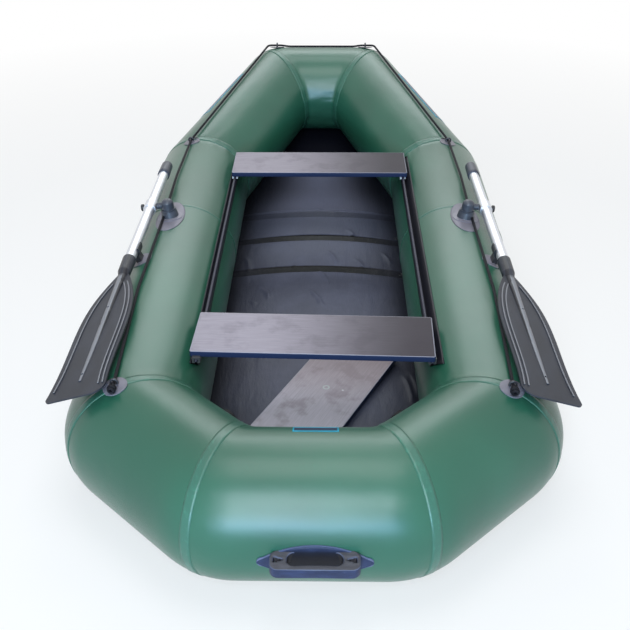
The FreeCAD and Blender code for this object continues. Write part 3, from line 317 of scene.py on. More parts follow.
def ring_frames():
    """Corners, directions, outward and upward axes of the ring's ten runs.

    The upward axis is carried from run to run by the turn that takes one direction to the next, so that a
    point at one angle round a tube meets the point at the same angle on its neighbour's mitre.
    """
    starboard = np.array([
        (STERN_CORNER_X, STERN_AXIS_Y, AXIS_HEIGHT),
        (SIDE_AXIS_X, SIDE_AFT_Y, AXIS_HEIGHT),
        (SIDE_AXIS_X, SEAM_Y, AXIS_HEIGHT),
        (SIDE_AXIS_X, SIDE_FORE_Y, AXIS_HEIGHT),
        (BOW_CORNER_X, BOW_AXIS_Y, BOW_AXIS_HEIGHT)])
    corners = np.concatenate([starboard, starboard[::-1] * (-1, 1, 1)])
    along = unit(np.roll(corners, -1, axis=0) - corners)
    up = np.zeros_like(along)
    up[STERN] = (0, 0, 1)
    for run in range(STERN):
        turn = Vector(along[run - 1]).rotation_difference(Vector(along[run]))
        up[run] = turn @ Vector(up[run - 1])
    return corners, along, np.cross(along, up), up


CORNERS, ALONG, OUTWARD, UPWARD = ring_frames()


def spoke(run, angles):
    """Unit vectors from a run's axis at angles from outward (0) over the top (quarter turn)."""
    run = run % len(ALONG)
    return np.cos(angles)[:, None] * OUTWARD[run] + np.sin(angles)[:, None] * UPWARD[run]


def mitre_points(corner, angles):
    """Where the straight lines of two neighbouring tubes meet, for each angle round them."""
    corner = corner % len(ALONG)
    before = ALONG[corner - 1]
    normal = before + ALONG[corner]
    ray = spoke(corner - 1, angles) * TUBE_RADIUS
    reach = -(ray @ normal) / (before @ normal)
    return CORNERS[corner] + ray + reach[:, None] * before


def lengthwise(corner, angles, distances, hull):
    """Points and outward directions of the skin at signed distances from a corner's mitre.

    angles has one value for each column and distances[row, column] is measured along that column's line.
    Near the corner the line is a quadratic curve, whose reach grows from the inside of the bend to its
    outside, as the cloth of an inflated bend does.
    """
    corner = corner % len(ALONG)
    before, after = ALONG[corner - 1], ALONG[corner]
    middle = mitre_points(corner, angles)
    ray_before, ray_after = spoke(corner - 1, angles), spoke(corner, angles)
    bend = after - before
    size = np.linalg.norm(bend)
    inward = (ray_before + ray_after) @ (bend / size) / 2 if size > 1e-6 else np.zeros(len(angles))
    outside = np.clip((1 - inward) / 2, 0, 1)
    reach = hull.crease_reach + (hull.bend_reach - hull.crease_reach) * outside ** 1.5
    t = np.clip(0.5 + distances / (2 * reach), 0, 1)[..., None]
    start = middle - reach[:, None] * before
    end = middle + reach[:, None] * after
    curve = (1 - t) ** 2 * start + 2 * t * (1 - t) * middle + t ** 2 * end
    past = np.clip(np.abs(distances) - reach, 0, None)[..., None]
    straight = np.where(distances[..., None] > 0, after, -before) * past
    rays = unit((1 - t) * ray_before + t * ray_after)
    return curve + straight, rays, np.clip(inward, 0, 1)


def puckers(corner, angles, distances, inward, hull):
    """Depth of the small folds that run lengthwise into a seam, deepest inside the bend."""
    near = np.exp(-(distances / hull.pucker_reach) ** 2)
    folds = np.sin(17 * angles + corner) * np.sin(29 * angles + 2.3 * corner) ** 2
    return -near * folds * hull.pucker_depth * (0.25 + 2.2 * inward ** 2)


def skin_points(corner, angles, distances, hull, lift=0.0):
    """Points of the puckered skin near a corner, raised by lift."""
    points, rays, inward = lengthwise(corner, angles, distances, hull)
    return points + rays * (lift + puckers(corner, angles, distances, inward, hull))[..., None]


def run_surface(run, hull):
    """The skin of one run as a grid of rings from mitre to mitre, with its map of metres along and round.

    A row's place is a share of each line's own length, so that the rings lean with the mitres at the ends.
    """
    angles = turns(ROUND_STEPS)
    share = (1 - np.cos(np.pi * np.linspace(0, 1, RUN_STEPS))) / 2
    start, end = mitre_points(run, angles), mitre_points(run + 1, angles)
    length = np.linalg.norm(end - start, axis=1)
    first = share <= 0.5
    aft = skin_points(run, angles, share[first, None] * length, hull)
    fore = skin_points(run + 1, angles, -(1 - share[~first, None]) * length, hull)
    along = share[:, None] * np.append(length, length[0])
    return np.concatenate([aft, fore]), wrapped_map(TUBE_RADIUS, ROUND_STEPS, along)


def band_surface(corner, width, hull):
    """A seam tape: a flat ring on the skin beside a mitre, from its top's near edge to far edge and back.

    The ring's section is a low trapezium: down inside the skin, up to the tape's thickness, across, and down.
    """
    angles = turns(ROUND_STEPS)
    edge = math.copysign(hull.tape_thickness, width)
    places = np.concatenate([[0], np.linspace(edge / 2, width - edge / 2, TAPE_STEPS), [width]])
    lifts = np.full(TAPE_STEPS + 2, hull.tape_thickness)
    lifts[[0, -1]] *= -1
    distances = np.repeat(places[:, None], ROUND_STEPS, 1)
    grid = skin_points(corner, angles, distances, hull, lifts[:, None])
    return grid, wrapped_map(TUBE_RADIUS, ROUND_STEPS, np.append(places, 0)[:, None])


def on_tube(run, place, angles, lift):
    """Points on a run's round skin: axis corner + place along it + (radius + lift) outwards at the angles."""
    rays = spoke(run, np.ravel(angles)).reshape(*np.shape(angles), 3)
    along = np.asarray(place)[..., None] * ALONG[run]
    return CORNERS[run] + along + (TUBE_RADIUS + np.asarray(lift)[..., None]) * rays


def patch_grid(run, start, end, low, high, lift):
    """A grid on a run's skin between two places along its axis and two angles, raised by lift."""
    across = np.linspace(low, high, PATCH_STEPS[1])
    angles, places = np.meshgrid(across, np.linspace(start, end, PATCH_STEPS[0]))
    return on_tube(run, places, angles, lift)


# Finishes

WEAVE_SCALE = 380.0
WEAVE_DEPTH = 0.00004
DENT_DEPTH = 0.0022
GRAIN_SCALE = 1300.0
FLOW_DEPTH = 0.0004
BRAID_PITCH = 0.011
BRAID_STRANDS = 8
# Painted shade: on the blade's spine flanks and under the handle's finger slot.
PAINTED_SHADE_BLACK = (0.006, 0.006, 0.010)
# Painted shade in the bow past the mat.
BOW_PAINTED_SHADE = (0.004, 0.004, 0.008)
# Painted shade in the handle's pockets and slot.
POCKET_PAINTED_SHADE = (0.008, 0.008, 0.014)
EYELET_BLACK = (0.008, 0.008, 0.010)
VALVE_BLACK = (0.02, 0.02, 0.022)
SCRATCH_GREY = (0.40, 0.37, 0.39)
WORN_RIM_GREY = (0.36, 0.36, 0.42)
# A painted highlight line on the rails.
RAIL_PAINTED_HIGHLIGHT = (0.16, 0.17, 0.21)
# Partly a painted highlight on the grip's edges and partly rubbed wear.
GRIP_HIGHLIGHT_AND_WEAR = (0.24, 0.25, 0.31)
PATCH_RUBBED = (0.20, 0.22, 0.30)
PATCH_RIM = (0.16, 0.18, 0.27)

# The plank's hole and screw, each with its middle, radius, half width and colour
PLANK_MARKS = (
    ((0.0295, 0.0065), 0.008, 0.003, (0.50, 0.56, 0.55)),
    ((0.0375, -0.0415), 0.0, 0.004, (0.75, 0.76, 0.80)))


class Socket:
    """A node's output that takes part in Python arithmetic. Each operator adds one Math node."""

    def __init__(self, owner, output):
        self.owner = owner
        self.output = output

    def math(self, operation, *others, first=None):
        values = [self, *others] if first is None else [first, self]
        return self.owner.node("ShaderNodeMath", {"operation": operation}, dict(enumerate(values)))

    def __add__(self, other):
        return self.math("ADD", other)

    __radd__ = __add__

    def __mul__(self, other):
        return self.math("MULTIPLY", other)

    __rmul__ = __mul__

    def __sub__(self, other):
        return self.math("SUBTRACT", other)

    def __rsub__(self, other):
        return self.math("SUBTRACT", first=other)

    def __pow__(self, other):
        return self.math("POWER", other)

    def absolute(self):
        return self.math("ABSOLUTE")

    def between(self, low, high):
        """0 at low, 1 at high, eased between."""
        inputs = {"Value": self, "From Min": low, "From Max": high}
        return self.owner.node("ShaderNodeMapRange", {"interpolation_type": "SMOOTHSTEP"}, inputs)


class NodeTree:
    """A tree of nodes that is built by calls."""

    def __init__(self, tree):
        self.tree = tree

    def feed(self, socket, value):
        if isinstance(value, Socket):
            self.tree.links.new(value.output, socket)
        else:
            socket.default_value = value

    def node(self, kind, settings=None, inputs=None, out=0):
        """Adds a node, sets its settings, then its sockets to values or links, and gives one output."""
        made = self.tree.nodes.new(kind)
        for name, value in (settings or {}).items():
            setattr(made, name, value)
        for name, value in (inputs or {}).items():
            self.feed(made.inputs[name], value)
        return Socket(self, made.outputs[out])

    def seen_rays(self):
        """1 for rays from the camera, in a reflection or through a clear piece, and 0 for light on things."""
        path = self.node("ShaderNodeLightPath").output.node.outputs
        camera, glossy, clear = (
            Socket(self, path[f"Is {kind} Ray"]) for kind in ("Camera", "Glossy", "Transmission"))
        return camera.math("MAXIMUM", glossy).math("MAXIMUM", clear)


class Finish(NodeTree):
    """A material made of nodes around one Principled surface."""

    def __init__(self, name):
        self.material = bpy.data.materials.new(name)
        self.material.use_nodes = True
        super().__init__(self.material.node_tree)
        self.surface = self.tree.nodes["Principled BSDF"]

    def place(self):
        """The point on the object, in metres."""
        return self.node("ShaderNodeTexCoord", out="Object")

    def chart(self):
        """The place on the piece's own map, in metres."""
        return self.node("ShaderNodeTexCoord", out="UV")

    def normal(self):
        return self.node("ShaderNodeNewGeometry", out="Normal")

    def split(self, vector):
        outputs = self.node("ShaderNodeSeparateXYZ", inputs={0: vector}).output.node.outputs
        return [Socket(self, output) for output in outputs]

    def stretched(self, vector, scale):
        return self.node("ShaderNodeMapping", inputs={"Vector": vector, "Scale": scale})

    def noise(self, vector, scale, detail=3.0, roughness=0.5):
        inputs = {"Vector": vector, "Scale": scale, "Detail": detail, "Roughness": roughness}
        return self.node("ShaderNodeTexNoise", inputs=inputs)

    def grain(self):
        """The fine grain of moulded rubber and plastic."""
        return self.noise(self.place(), GRAIN_SCALE, 2.0)

    def blend(self, share, first, second):
        """A colour between two, by share."""
        return self.node("ShaderNodeMix", {"data_type": "RGBA"}, {0: share, 6: first, 7: second}, out=2)

    def tones(self, value, colour, darker, lighter, low=0.3, high=0.8):
        """A colour between a darker and a lighter tone of one, as the value goes from low to high."""
        return self.blend(value.between(low, high), rgb(colour, darker), rgb(colour, lighter))

    def bump(self, height, depth, under=None):
        """A bump whose height is in shares of depth, which is in metres."""
        inputs = {"Height": height, "Strength": 1.0, "Distance": depth}
        if under is not None:
            inputs["Normal"] = under
        return self.node("ShaderNodeBump", inputs=inputs)

    def set(self, **values):
        """Sets the surface's sockets by name, with _ for a space."""
        for name, value in values.items():
            self.feed(self.surface.inputs[name.replace("_", " ")], value)
        return self.material


def rgb(colour, factor=1.0):
    """A colour as four numbers, made lighter or darker by factor."""
    return (*(part * factor for part in colour[:3]), 1.0)


def coated_cloth(name, colour, roughness, worn=0.25, paleness=1.5):
    """Coated boat cloth: an even satin coat over a fine weave, with faint clouds, scuffs and soft dents."""
    f = Finish(name)
    chart, place = f.chart(), f.place()
    weave, cross = (f.node("ShaderNodeTexWave", {"wave_type": "BANDS", "bands_direction": way},
                           {"Vector": chart, "Scale": WEAVE_SCALE, "Distortion": 0.0}) for way in "XY")
    clouds = f.noise(place, 3.0, 2.0)
    scuffs = f.noise(f.stretched(place, (14.0, 5.0, 14.0)), 6.0, 6.0, 0.65)
    dents = f.noise(f.stretched(place, (1.0, 0.6, 1.0)), 9.0, 2.0, 0.4)
    base = f.tones(clouds, colour, 0.9, 1.12, 0.3, 0.75)
    base = f.blend(scuffs.between(0.62 - worn * 0.2, 0.85) * worn, base, rgb(colour, paleness))
    satin = roughness + clouds * 0.05 + scuffs.between(0.55, 0.8) * 0.08
    skin = f.bump(dents, DENT_DEPTH, f.bump(weave * cross, WEAVE_DEPTH))
    return f.set(Base_Color=base, Roughness=satin, Normal=skin, Coat_Weight=0.06, Coat_Roughness=0.22)


def slat_cover(name, colour, floor):
    """The mat's cover and the cloth ahead of it: a dusty grey with fine creases along the boat.

    It is darker in the bands, lighter forward as painted light, darker towards the sides as painted shade
    under the tubes, and painted nearly black as shade past the mat in the bow.
    """
    f = Finish(name)
    place = f.place()
    x, y, _ = f.split(place)
    creases = f.noise(f.stretched(place, (5.0, 1.3, 1.0)), 5.0, 5.0, 0.6)
    dust = f.noise(place, 7.0, 5.0, 0.6)
    grain = f.noise(place, 900.0, 1.0)
    base = f.tones(dust, colour, 0.85, 1.3, 0.35, 0.8)
    # Lighter forward of the middle: painted light.
    base = f.blend(y.between(0.0, 0.45) * 0.5, base, rgb(colour, 1.9))
    reach = floor.band_width / 2
    for band_y, share in MAT_BANDS:
        in_band = (y - band_y).absolute().between(reach + 0.003, reach - 0.001)
        base = f.blend(in_band * share, base, rgb(colour, 0.03))
    # Darker towards the sides, and more so near the bow: painted shade under the side tubes.
    side = (x.absolute() + y.between(0.55, 0.85) * 0.12).between(0.34, 0.10)
    base = f.blend(side, rgb(colour, 0.20), base)
    # Nearly black past the mat in the bow: painted shade.
    base = f.blend(y.between(0.86, 1.0), base, rgb(BOW_PAINTED_SHADE))
    relief = f.bump(creases, 0.0040, f.bump(grain, 0.00006))
    return f.set(Base_Color=base, Roughness=0.42 + dust * 0.16, Normal=relief, Specular_IOR_Level=0.2)


def film_board(name, colour, far_shade_and_stain_colour, edge_colour, size, blotching, marks=()):
    """Film-faced plywood on the board's own map: fine streaks, worn lighter rims and painted dark edges.

    The film turns from one colour to the other along the board. On the seats this is a painted sheen at port
    that fades to painted shade at starboard; on the plank it is a stain. The rim is where the map's place is
    less than 4 mm from the outline. A mark is a ring: its middle, radius, half width and colour.
    """
    f = Finish(name)
    chart = f.chart()
    u, v, _ = f.split(chart)
    streaks = f.noise(f.stretched(chart, (2.5, 60.0, 1.0)), 5.0, 5.0, 0.6)
    blotches = f.noise(chart, 11.0, 4.0, 0.6)
    scratches = f.noise(f.stretched(chart, (9.0, 140.0, 1.0)), 2.5, 8.0, 0.75)
    # On the seats this turn is a painted sheen at port fading to painted shade at starboard; on the plank it
    # is a stain.
    base = f.blend(u.between(-size[0] * 0.30, size[0] * 0.46), rgb(colour), rgb(far_shade_and_stain_colour))
    shade = 0.88 + streaks.between(0.25, 0.75) * 0.24
    base = f.node("ShaderNodeVectorMath", {"operation": "SCALE"}, {0: base, "Scale": shade})
    base = f.blend(blotches.between(0.48, 0.66) * blotching, base, rgb(far_shade_and_stain_colour, 0.9))
    base = f.blend(scratches.between(0.66, 0.8) * 0.2, base, rgb(SCRATCH_GREY))
    rim = (u.absolute() - size[0] / 2).math("MAXIMUM", v.absolute() - size[1] / 2).between(-0.004, -0.0015)
    base = f.blend(rim * 0.7, base, rgb(WORN_RIM_GREY))
    base = f.blend(f.split(f.normal())[2].between(0.45, 0.8), rgb(edge_colour), base)
    for middle, radius, half_width, mark in marks:
        away = ((u - middle[0]) ** 2 + (v - middle[1]) ** 2) ** 0.5
        ring = (away - radius).absolute().between(half_width, half_width * 0.4)
        base = f.blend(ring * 0.8, base, rgb(mark))
    satin = 0.30 + streaks * 0.10 + blotches * 0.08
    relief = f.bump(streaks, 0.00012, f.bump(scratches, 0.0001))
    return f.set(Base_Color=base, Roughness=satin, Normal=relief, Specular_IOR_Level=0.12)


def rail_rubber(name, seats):
    """The seat rails: a near-black outer strip, partly painted shadow of the gap by the bead, a grey-purple
    bead and web, and a painted highlight line inside.
    """
    f = Finish(name)
    place = f.place()
    across = f.split(place)[0].absolute() - RAIL_X
    flow = f.noise(f.stretched(place, (20.0, 1.5, 20.0)), 6.0, 4.0)
    base = f.tones(flow, seats.web_colour, 0.85, 1.15)
    # Near black outboard of the bead: the strip's rubber, partly painted shadow of the gap.
    base = f.blend(across.between(0.004, 0.006), base, rgb(seats.rail_strip_and_shadow_colour))
    # A light line inboard of the bead: painted highlight.
    base = f.blend(across.between(-0.0055, -0.0075), base, rgb(RAIL_PAINTED_HIGHLIGHT))
    relief = f.bump(f.grain(), 0.0001)
    return f.set(Base_Color=base, Roughness=0.40 + flow * 0.1, Normal=relief, Specular_IOR_Level=0.2)


def moulded(name, colour, roughness, grain_depth=0.00015, worn=0.25, shine=0.5):
    """Moulded rubber or plastic: fine grain, faint flow marks and lighter rubbed places."""
    f = Finish(name)
    place = f.place()
    flow = f.noise(f.stretched(place, (1.0, 0.4, 1.0)), 26.0, 4.0)
    rubbed = f.noise(place, 60.0, 6.0, 0.7)
    base = f.tones(flow, colour, 0.85, 1.25)
    base = f.blend(rubbed.between(0.58, 0.8) * worn, base, rgb(colour, 2.6))
    relief = f.bump(f.grain(), grain_depth, f.bump(flow, FLOW_DEPTH))
    return f.set(Base_Color=base, Roughness=roughness + flow * 0.08, Normal=relief, Specular_IOR_Level=shine)


def blade_plastic(name, axes, foot, oars):
    """The blade's moulded plastic: dark, with a painted highlight on the crests of its spine and ribs.

    axes holds the directions along the oar to the tip, across the blade and up from it, and foot is a point
    on the oar's axis. A crest is where a point lies higher over the blade's middle plane than its plate does.
    The spine's flanks, between its crest and its foot, are painted dark as shade.
    """
    f = Finish(name)
    place = f.place()
    along, across, over = (
        f.node("ShaderNodeVectorMath", {"operation": "DOT_PRODUCT"}, {0: place, 1: tuple(axis)}, out="Value")
        - float(np.dot(axis, foot)) for axis in axes)
    flow = f.noise(f.stretched(place, (1.0, 0.4, 1.0)), 26.0, 4.0)
    base = f.tones(flow, oars.blade_colour, 0.8, 1.25)
    side = across.absolute()
    flank = side.between(0.005, 0.0065) * (1.0 - side.between(0.0135, 0.0150))
    crest = over.between(0.0032, 0.0040) * (1.0 - flank) * along.between(oars.throat, oars.throat + 0.02)
    # Painted shade on the spine's flanks.
    base = f.blend(over.between(0.0022, 0.0028) * flank * 0.9, base, rgb(PAINTED_SHADE_BLACK))
    # Painted highlight on the crests of the spine and ribs.
    base = f.blend(crest * 0.85, base, rgb(oars.crest_highlight_colour))
    relief = f.bump(f.grain(), 0.0002, f.bump(flow, FLOW_DEPTH))
    return f.set(Base_Color=base, Roughness=0.34 + flow * 0.08, Normal=relief, Specular_IOR_Level=0.3)


def two_tone(name, low_colour, high_colour, height):
    """Moulded rubber glued on a side tube: one colour near the skin and another past a height over it.

    The height is the distance from the side tubes' axis less their radius.
    """
    f = Finish(name)
    place = f.place()
    x, _, z = f.split(place)
    over = ((x.absolute() - SIDE_AXIS_X) ** 2 + (z - AXIS_HEIGHT) ** 2) ** 0.5 - TUBE_RADIUS
    flow = f.noise(place, 40.0, 4.0, 0.6)
    low = f.tones(flow, low_colour, 0.9, 1.15, 0.35, 0.75)
    high = f.tones(flow, high_colour, 0.8, 1.3, 0.35, 0.75)
    base = f.blend(over.between(height - 0.0003, height + 0.0003), low, high)
    return f.set(Base_Color=base, Roughness=0.36 + flow * 0.12, Normal=f.bump(f.grain(), 0.00012))


def lens_arc(rig):
    """The arc along each side of the handle's patch: half its length, and its radius (t^2 + r^2) / 2r."""
    tip = rig.lens_length / 2 - rig.lens_end
    rise = rig.lens_width / 2 - rig.lens_end
    return tip, (tip ** 2 + rise ** 2) / (2 * rise)


def lens_rubber(name, rig):
    """The handle's patch: navy rubber with a thin lighter edge, on its own map of metres along and across.

    Under the finger slot it is painted nearly black as the slot's shadow.
    """
    f = Finish(name)
    place = f.place()
    u, v, _ = f.split(f.chart())
    _, radius = lens_arc(rig)
    reach = (radius ** 2 - u * u) ** 0.5 - radius + rig.lens_width / 2
    flow = f.noise(place, 30.0, 4.0, 0.6)
    rubbed = f.noise(place, 120.0, 5.0, 0.7)
    base = f.tones(flow, rig.handle_colour, 0.8, 1.3)
    base = f.blend(rubbed.between(0.6, 0.8) * 0.25, base, rgb(PATCH_RUBBED))
    # Painted shadow of the grip under the finger slot.
    slot_shadow = u.absolute().between(0.066, 0.058) * v.between(0.036, 0.026)
    base = f.blend(slot_shadow * 0.9, base, rgb(PAINTED_SHADE_BLACK))
    base = f.blend((reach - v.absolute()).between(0.0030, 0.0012) * 0.6, base, rgb(PATCH_RIM))
    relief = f.bump(flow, 0.0005)
    return f.set(Base_Color=base, Roughness=0.40 + flow * 0.1, Normal=relief, Specular_IOR_Level=0.25)


def handle_rubber(name, rig):
    """The handle's grip: navy faces, a grey-brown top partly worn and partly painted light, painted shade in
    its hollows, and painted highlights with rubbed wear on its edges.
    """
    f = Finish(name)
    place = f.place()
    facing_up = f.split(f.normal())[2]
    depth = f.split(f.chart())[0]
    flow = f.noise(f.stretched(place, (1.0, 3.0, 3.0)), 40.0, 4.0, 0.6)
    rubbed = f.noise(place, 150.0, 5.0, 0.7)
    navy = f.tones(flow, rig.handle_colour, 0.8, 1.35)
    worn = f.tones(flow, rig.grip_top_wear_and_light_colour, 0.75, 1.25)
    # Faces that face up take the grey-brown top colour: partly wear, partly painted light from above.
    base = f.blend(facing_up.between(0.72, 0.95), navy, worn)
    # Rounded edges between the top and the sides get a painted highlight, and rubbed places wear lighter.
    edge = facing_up.between(0.15, 0.55) * (1.0 - facing_up.between(0.6, 0.95))
    base = f.blend(edge * 0.35 + rubbed.between(0.6, 0.8) * 0.15, base, rgb(GRIP_HIGHLIGHT_AND_WEAR))
    # Painted shade deep in the pockets and the slot.
    base = f.blend(depth.between(0.0015, 0.0045), base, rgb(POCKET_PAINTED_SHADE))
    relief = f.bump(flow, FLOW_DEPTH)
    return f.set(Base_Color=base, Roughness=0.42 + flow * 0.12, Normal=relief, Specular_IOR_Level=0.25)


def drawn_metal(name, colour, roughness):
    """Drawn tube: streaks along the boat and small dull spots."""
    f = Finish(name)
    place = f.place()
    streaks = f.noise(f.stretched(place, (40.0, 1.5, 40.0)), 8.0, 4.0, 0.6)
    spots = f.noise(place, 45.0, 5.0, 0.65)
    base = f.blend(spots.between(0.55, 0.85) * 0.4, rgb(colour), rgb(colour, 0.72))
    satin = roughness + streaks * 0.12 + spots.between(0.6, 0.8) * 0.10
    return f.set(Base_Color=base, Roughness=satin, Metallic=1.0, Normal=f.bump(streaks, 0.00005))


def braided_cord(name, colour, radius):
    """A braided line: two crossing sets of strands, worked out from the place along and round the line."""
    f = Finish(name)
    u, v, _ = f.split(f.chart())
    one = v * (2 * math.pi / BRAID_PITCH) + u * (BRAID_STRANDS / radius)
    other = v * (2 * math.pi / BRAID_PITCH) - u * (BRAID_STRANDS / radius)
    strands = one.math("SINE").math("MAXIMUM", other.math("SINE"))
    fuzz = f.noise(f.place(), 700.0, 3.0)
    base = f.tones(strands, colour, 0.45, 1.7, -0.4, 1.0)
    relief = f.bump(strands, 0.0004)
    return f.set(Base_Color=base, Roughness=0.55 + fuzz * 0.15, Normal=relief, Specular_IOR_Level=0.2)


# Settings


def length(name, description, default):
    return FloatProperty(name=name, description=description, default=default, unit="LENGTH", precision=4)


def lengths(name, description, default):
    return FloatVectorProperty(
        name=name, description=description, default=default, size=len(default), unit="LENGTH", precision=4)


def plain(name, description, default):
    return FloatProperty(name=name, description=description, default=default)


def colour(name, description, default):
    return FloatVectorProperty(name=name, description=description, default=default, subtype="COLOR", size=3)


class HullSettings(bpy.types.PropertyGroup):
    bend_reach: length("Bend reach", "Length of the rounding on the outside of a tube's bend", 0.105)
    crease_reach: length("Crease reach", "Length of the rounding on the inside of a tube's bend", 0.014)
    pucker_depth: length("Pucker depth", "Depth of the small folds at the seams", 0.0011)
    pucker_reach: length("Pucker reach", "Distance from a seam at which its folds fade", 0.05)
    tape_width: length("Tape width", "Width of the corner seam tapes", 0.028)
    side_tape_width: length("Side tape width", "Width of the tape at the middle of the side tubes", 0.012)
    tape_thickness: length("Tape thickness", "Thickness of the seam tapes", 0.0012)
    skin_colour: colour("Skin colour", "Green of the coated cloth", (0.020, 0.102, 0.062))
    # The tapes' lighter green is partly a painted highlight.
    tape_and_highlight_colour: colour("Tape colour", "Lighter green of the seam tapes", (0.030, 0.120, 0.080))
    bottom_colour: colour("Bottom colour", "Dark grey of the bottom sheet", (0.012, 0.014, 0.018))


class FloorSettings(bpy.types.PropertyGroup):
    cover_colour: colour("Mat colour", "Slate grey of the mat's cover", (0.070, 0.075, 0.112))
    cover_thickness: length("Mat thickness", "Thickness of the mat's slats and cover", 0.009)
    band_width: length("Band width", "Width of the lower bands between the slats", 0.045)
    band_depth: length("Band depth", "How far the bands lie below the slats", 0.004)
    fold_width: length("Fold width", "Half the width of a fold in the mat's cover", 0.0065)
    fold_share: plain("Fold share", "Scale of the folds' heights", 1.4)
    diagonal_inset: length("Corner cut", "Distance of the mat's aft corners from the stern corners", 0.125)
    plank_colour: colour("Plank colour", "Pale purple grey of the loose plank", (0.495, 0.455, 0.515))
    plank_stain_colour: colour("Plank stains", "Brown of the plank's stains", (0.260, 0.212, 0.235))
    plank_middle: lengths("Plank middle", "Middle of the loose plank", (0.0235, -0.645))
    plank_length: length("Plank length", "Length of the loose plank", 0.600)
    plank_width: length("Plank width", "Width of the loose plank", 0.227)
    plank_thickness: length("Plank thickness", "Thickness of the loose plank", 0.015)
    plank_turn: plain("Plank turn", "Turn of the loose plank, in degrees", 64.3)


class SeatSettings(bpy.types.PropertyGroup):
    # The film's turn from the pale port colour to the dark starboard colour is a painted sheen fading to
    # painted shade.
    film_colour: colour("Film colour", "Pale grey of the boards' film at port", (0.335, 0.302, 0.350))
    starboard_shade_colour: colour("Dark film colour", "Brown of the film at starboard", (0.026, 0.019, 0.028))
    edge_colour: colour("Edge colour", "Dark navy paint on the boards' edges", (0.018, 0.028, 0.072))
    corner_radius: length("Corner radius", "Rounding of the boards' corners", 0.006)
    board_depth: length("Board depth", "Depth of the boards' folded edges", 0.016)
    aft_lead: length("Aft board's lead", "How far the aft board lies forward of its profiles' middle", 0.010)
    aft_turn: plain("Aft board's turn", "Turn of the aft board, in degrees", 1.9)
    overhang: length("Overhang", "How much longer the dressed boards are than the packed ones", 0.005)
    rail_aft: length("Rails' aft end", "Place of the beads' aft ends", -0.846)
    rail_slant: plain("Rail slant", "Lead of the rail's foot by its depth", 1.1)
    # The strip's near black is partly painted shadow of the gap beside the bead.
    rail_strip_and_shadow_colour: colour("Rail colour", "Near black of the rails' strip", (0.007, 0.007, 0.012))
    web_colour: colour("Rail web colour", "Grey purple of the rails' web and bead", (0.036, 0.036, 0.056))
    profile_colour: colour("Profile colour", "White of the slotted profiles", (0.62, 0.64, 0.66))


class OarSettings(bpy.types.PropertyGroup):
    blade_colour: colour("Blade colour", "Slate of the blades and their sockets", (0.024, 0.027, 0.038))
    # The crests' light grey is a painted highlight.
    crest_highlight_colour: colour("Crest colour", "Light grey of the blades' ribs", (0.230, 0.232, 0.255))
    throat: length("Throat", "Distance of the blade's throat from the shaft's middle", 0.380)
    grip_length: length("Grip length", "Length of the smooth grips", 0.088)
    grip_radius: length("Grip radius", "Radius of the smooth grips", 0.0187)
    shaft_radius: length("Shaft radius", "Radius of the shafts", 0.016)
    grip_colour: colour("Grip colour", "Dark blue grey of the grips", (0.034, 0.040, 0.060))
    shaft_colour: colour("Shaft colour", "Colour of the drawn tube", (0.64, 0.66, 0.70))
    lock_colour: colour("Lock colour", "Dark blue grey of the oarlocks", (0.042, 0.048, 0.064))
    knob_colour: colour("Knob colour", "Black of the retaining knobs", (0.014, 0.015, 0.020))
    patch_colour: colour("Patch colour", "Light purple grey of the glued patches", (0.200, 0.190, 0.230))
    patch_size: lengths("Patch size", "Length and width of the glued oval", (0.205, 0.092))
    patch_place: length("Patch place", "Place of the glued oval along the side tube", 0.894)
    patch_angle: plain("Patch angle", "Angle of the glued oval from outward, in degrees", 82.0)
    patch_height: length("Patch height", "Thickness at which a patch ends and its fitting starts", 0.0036)


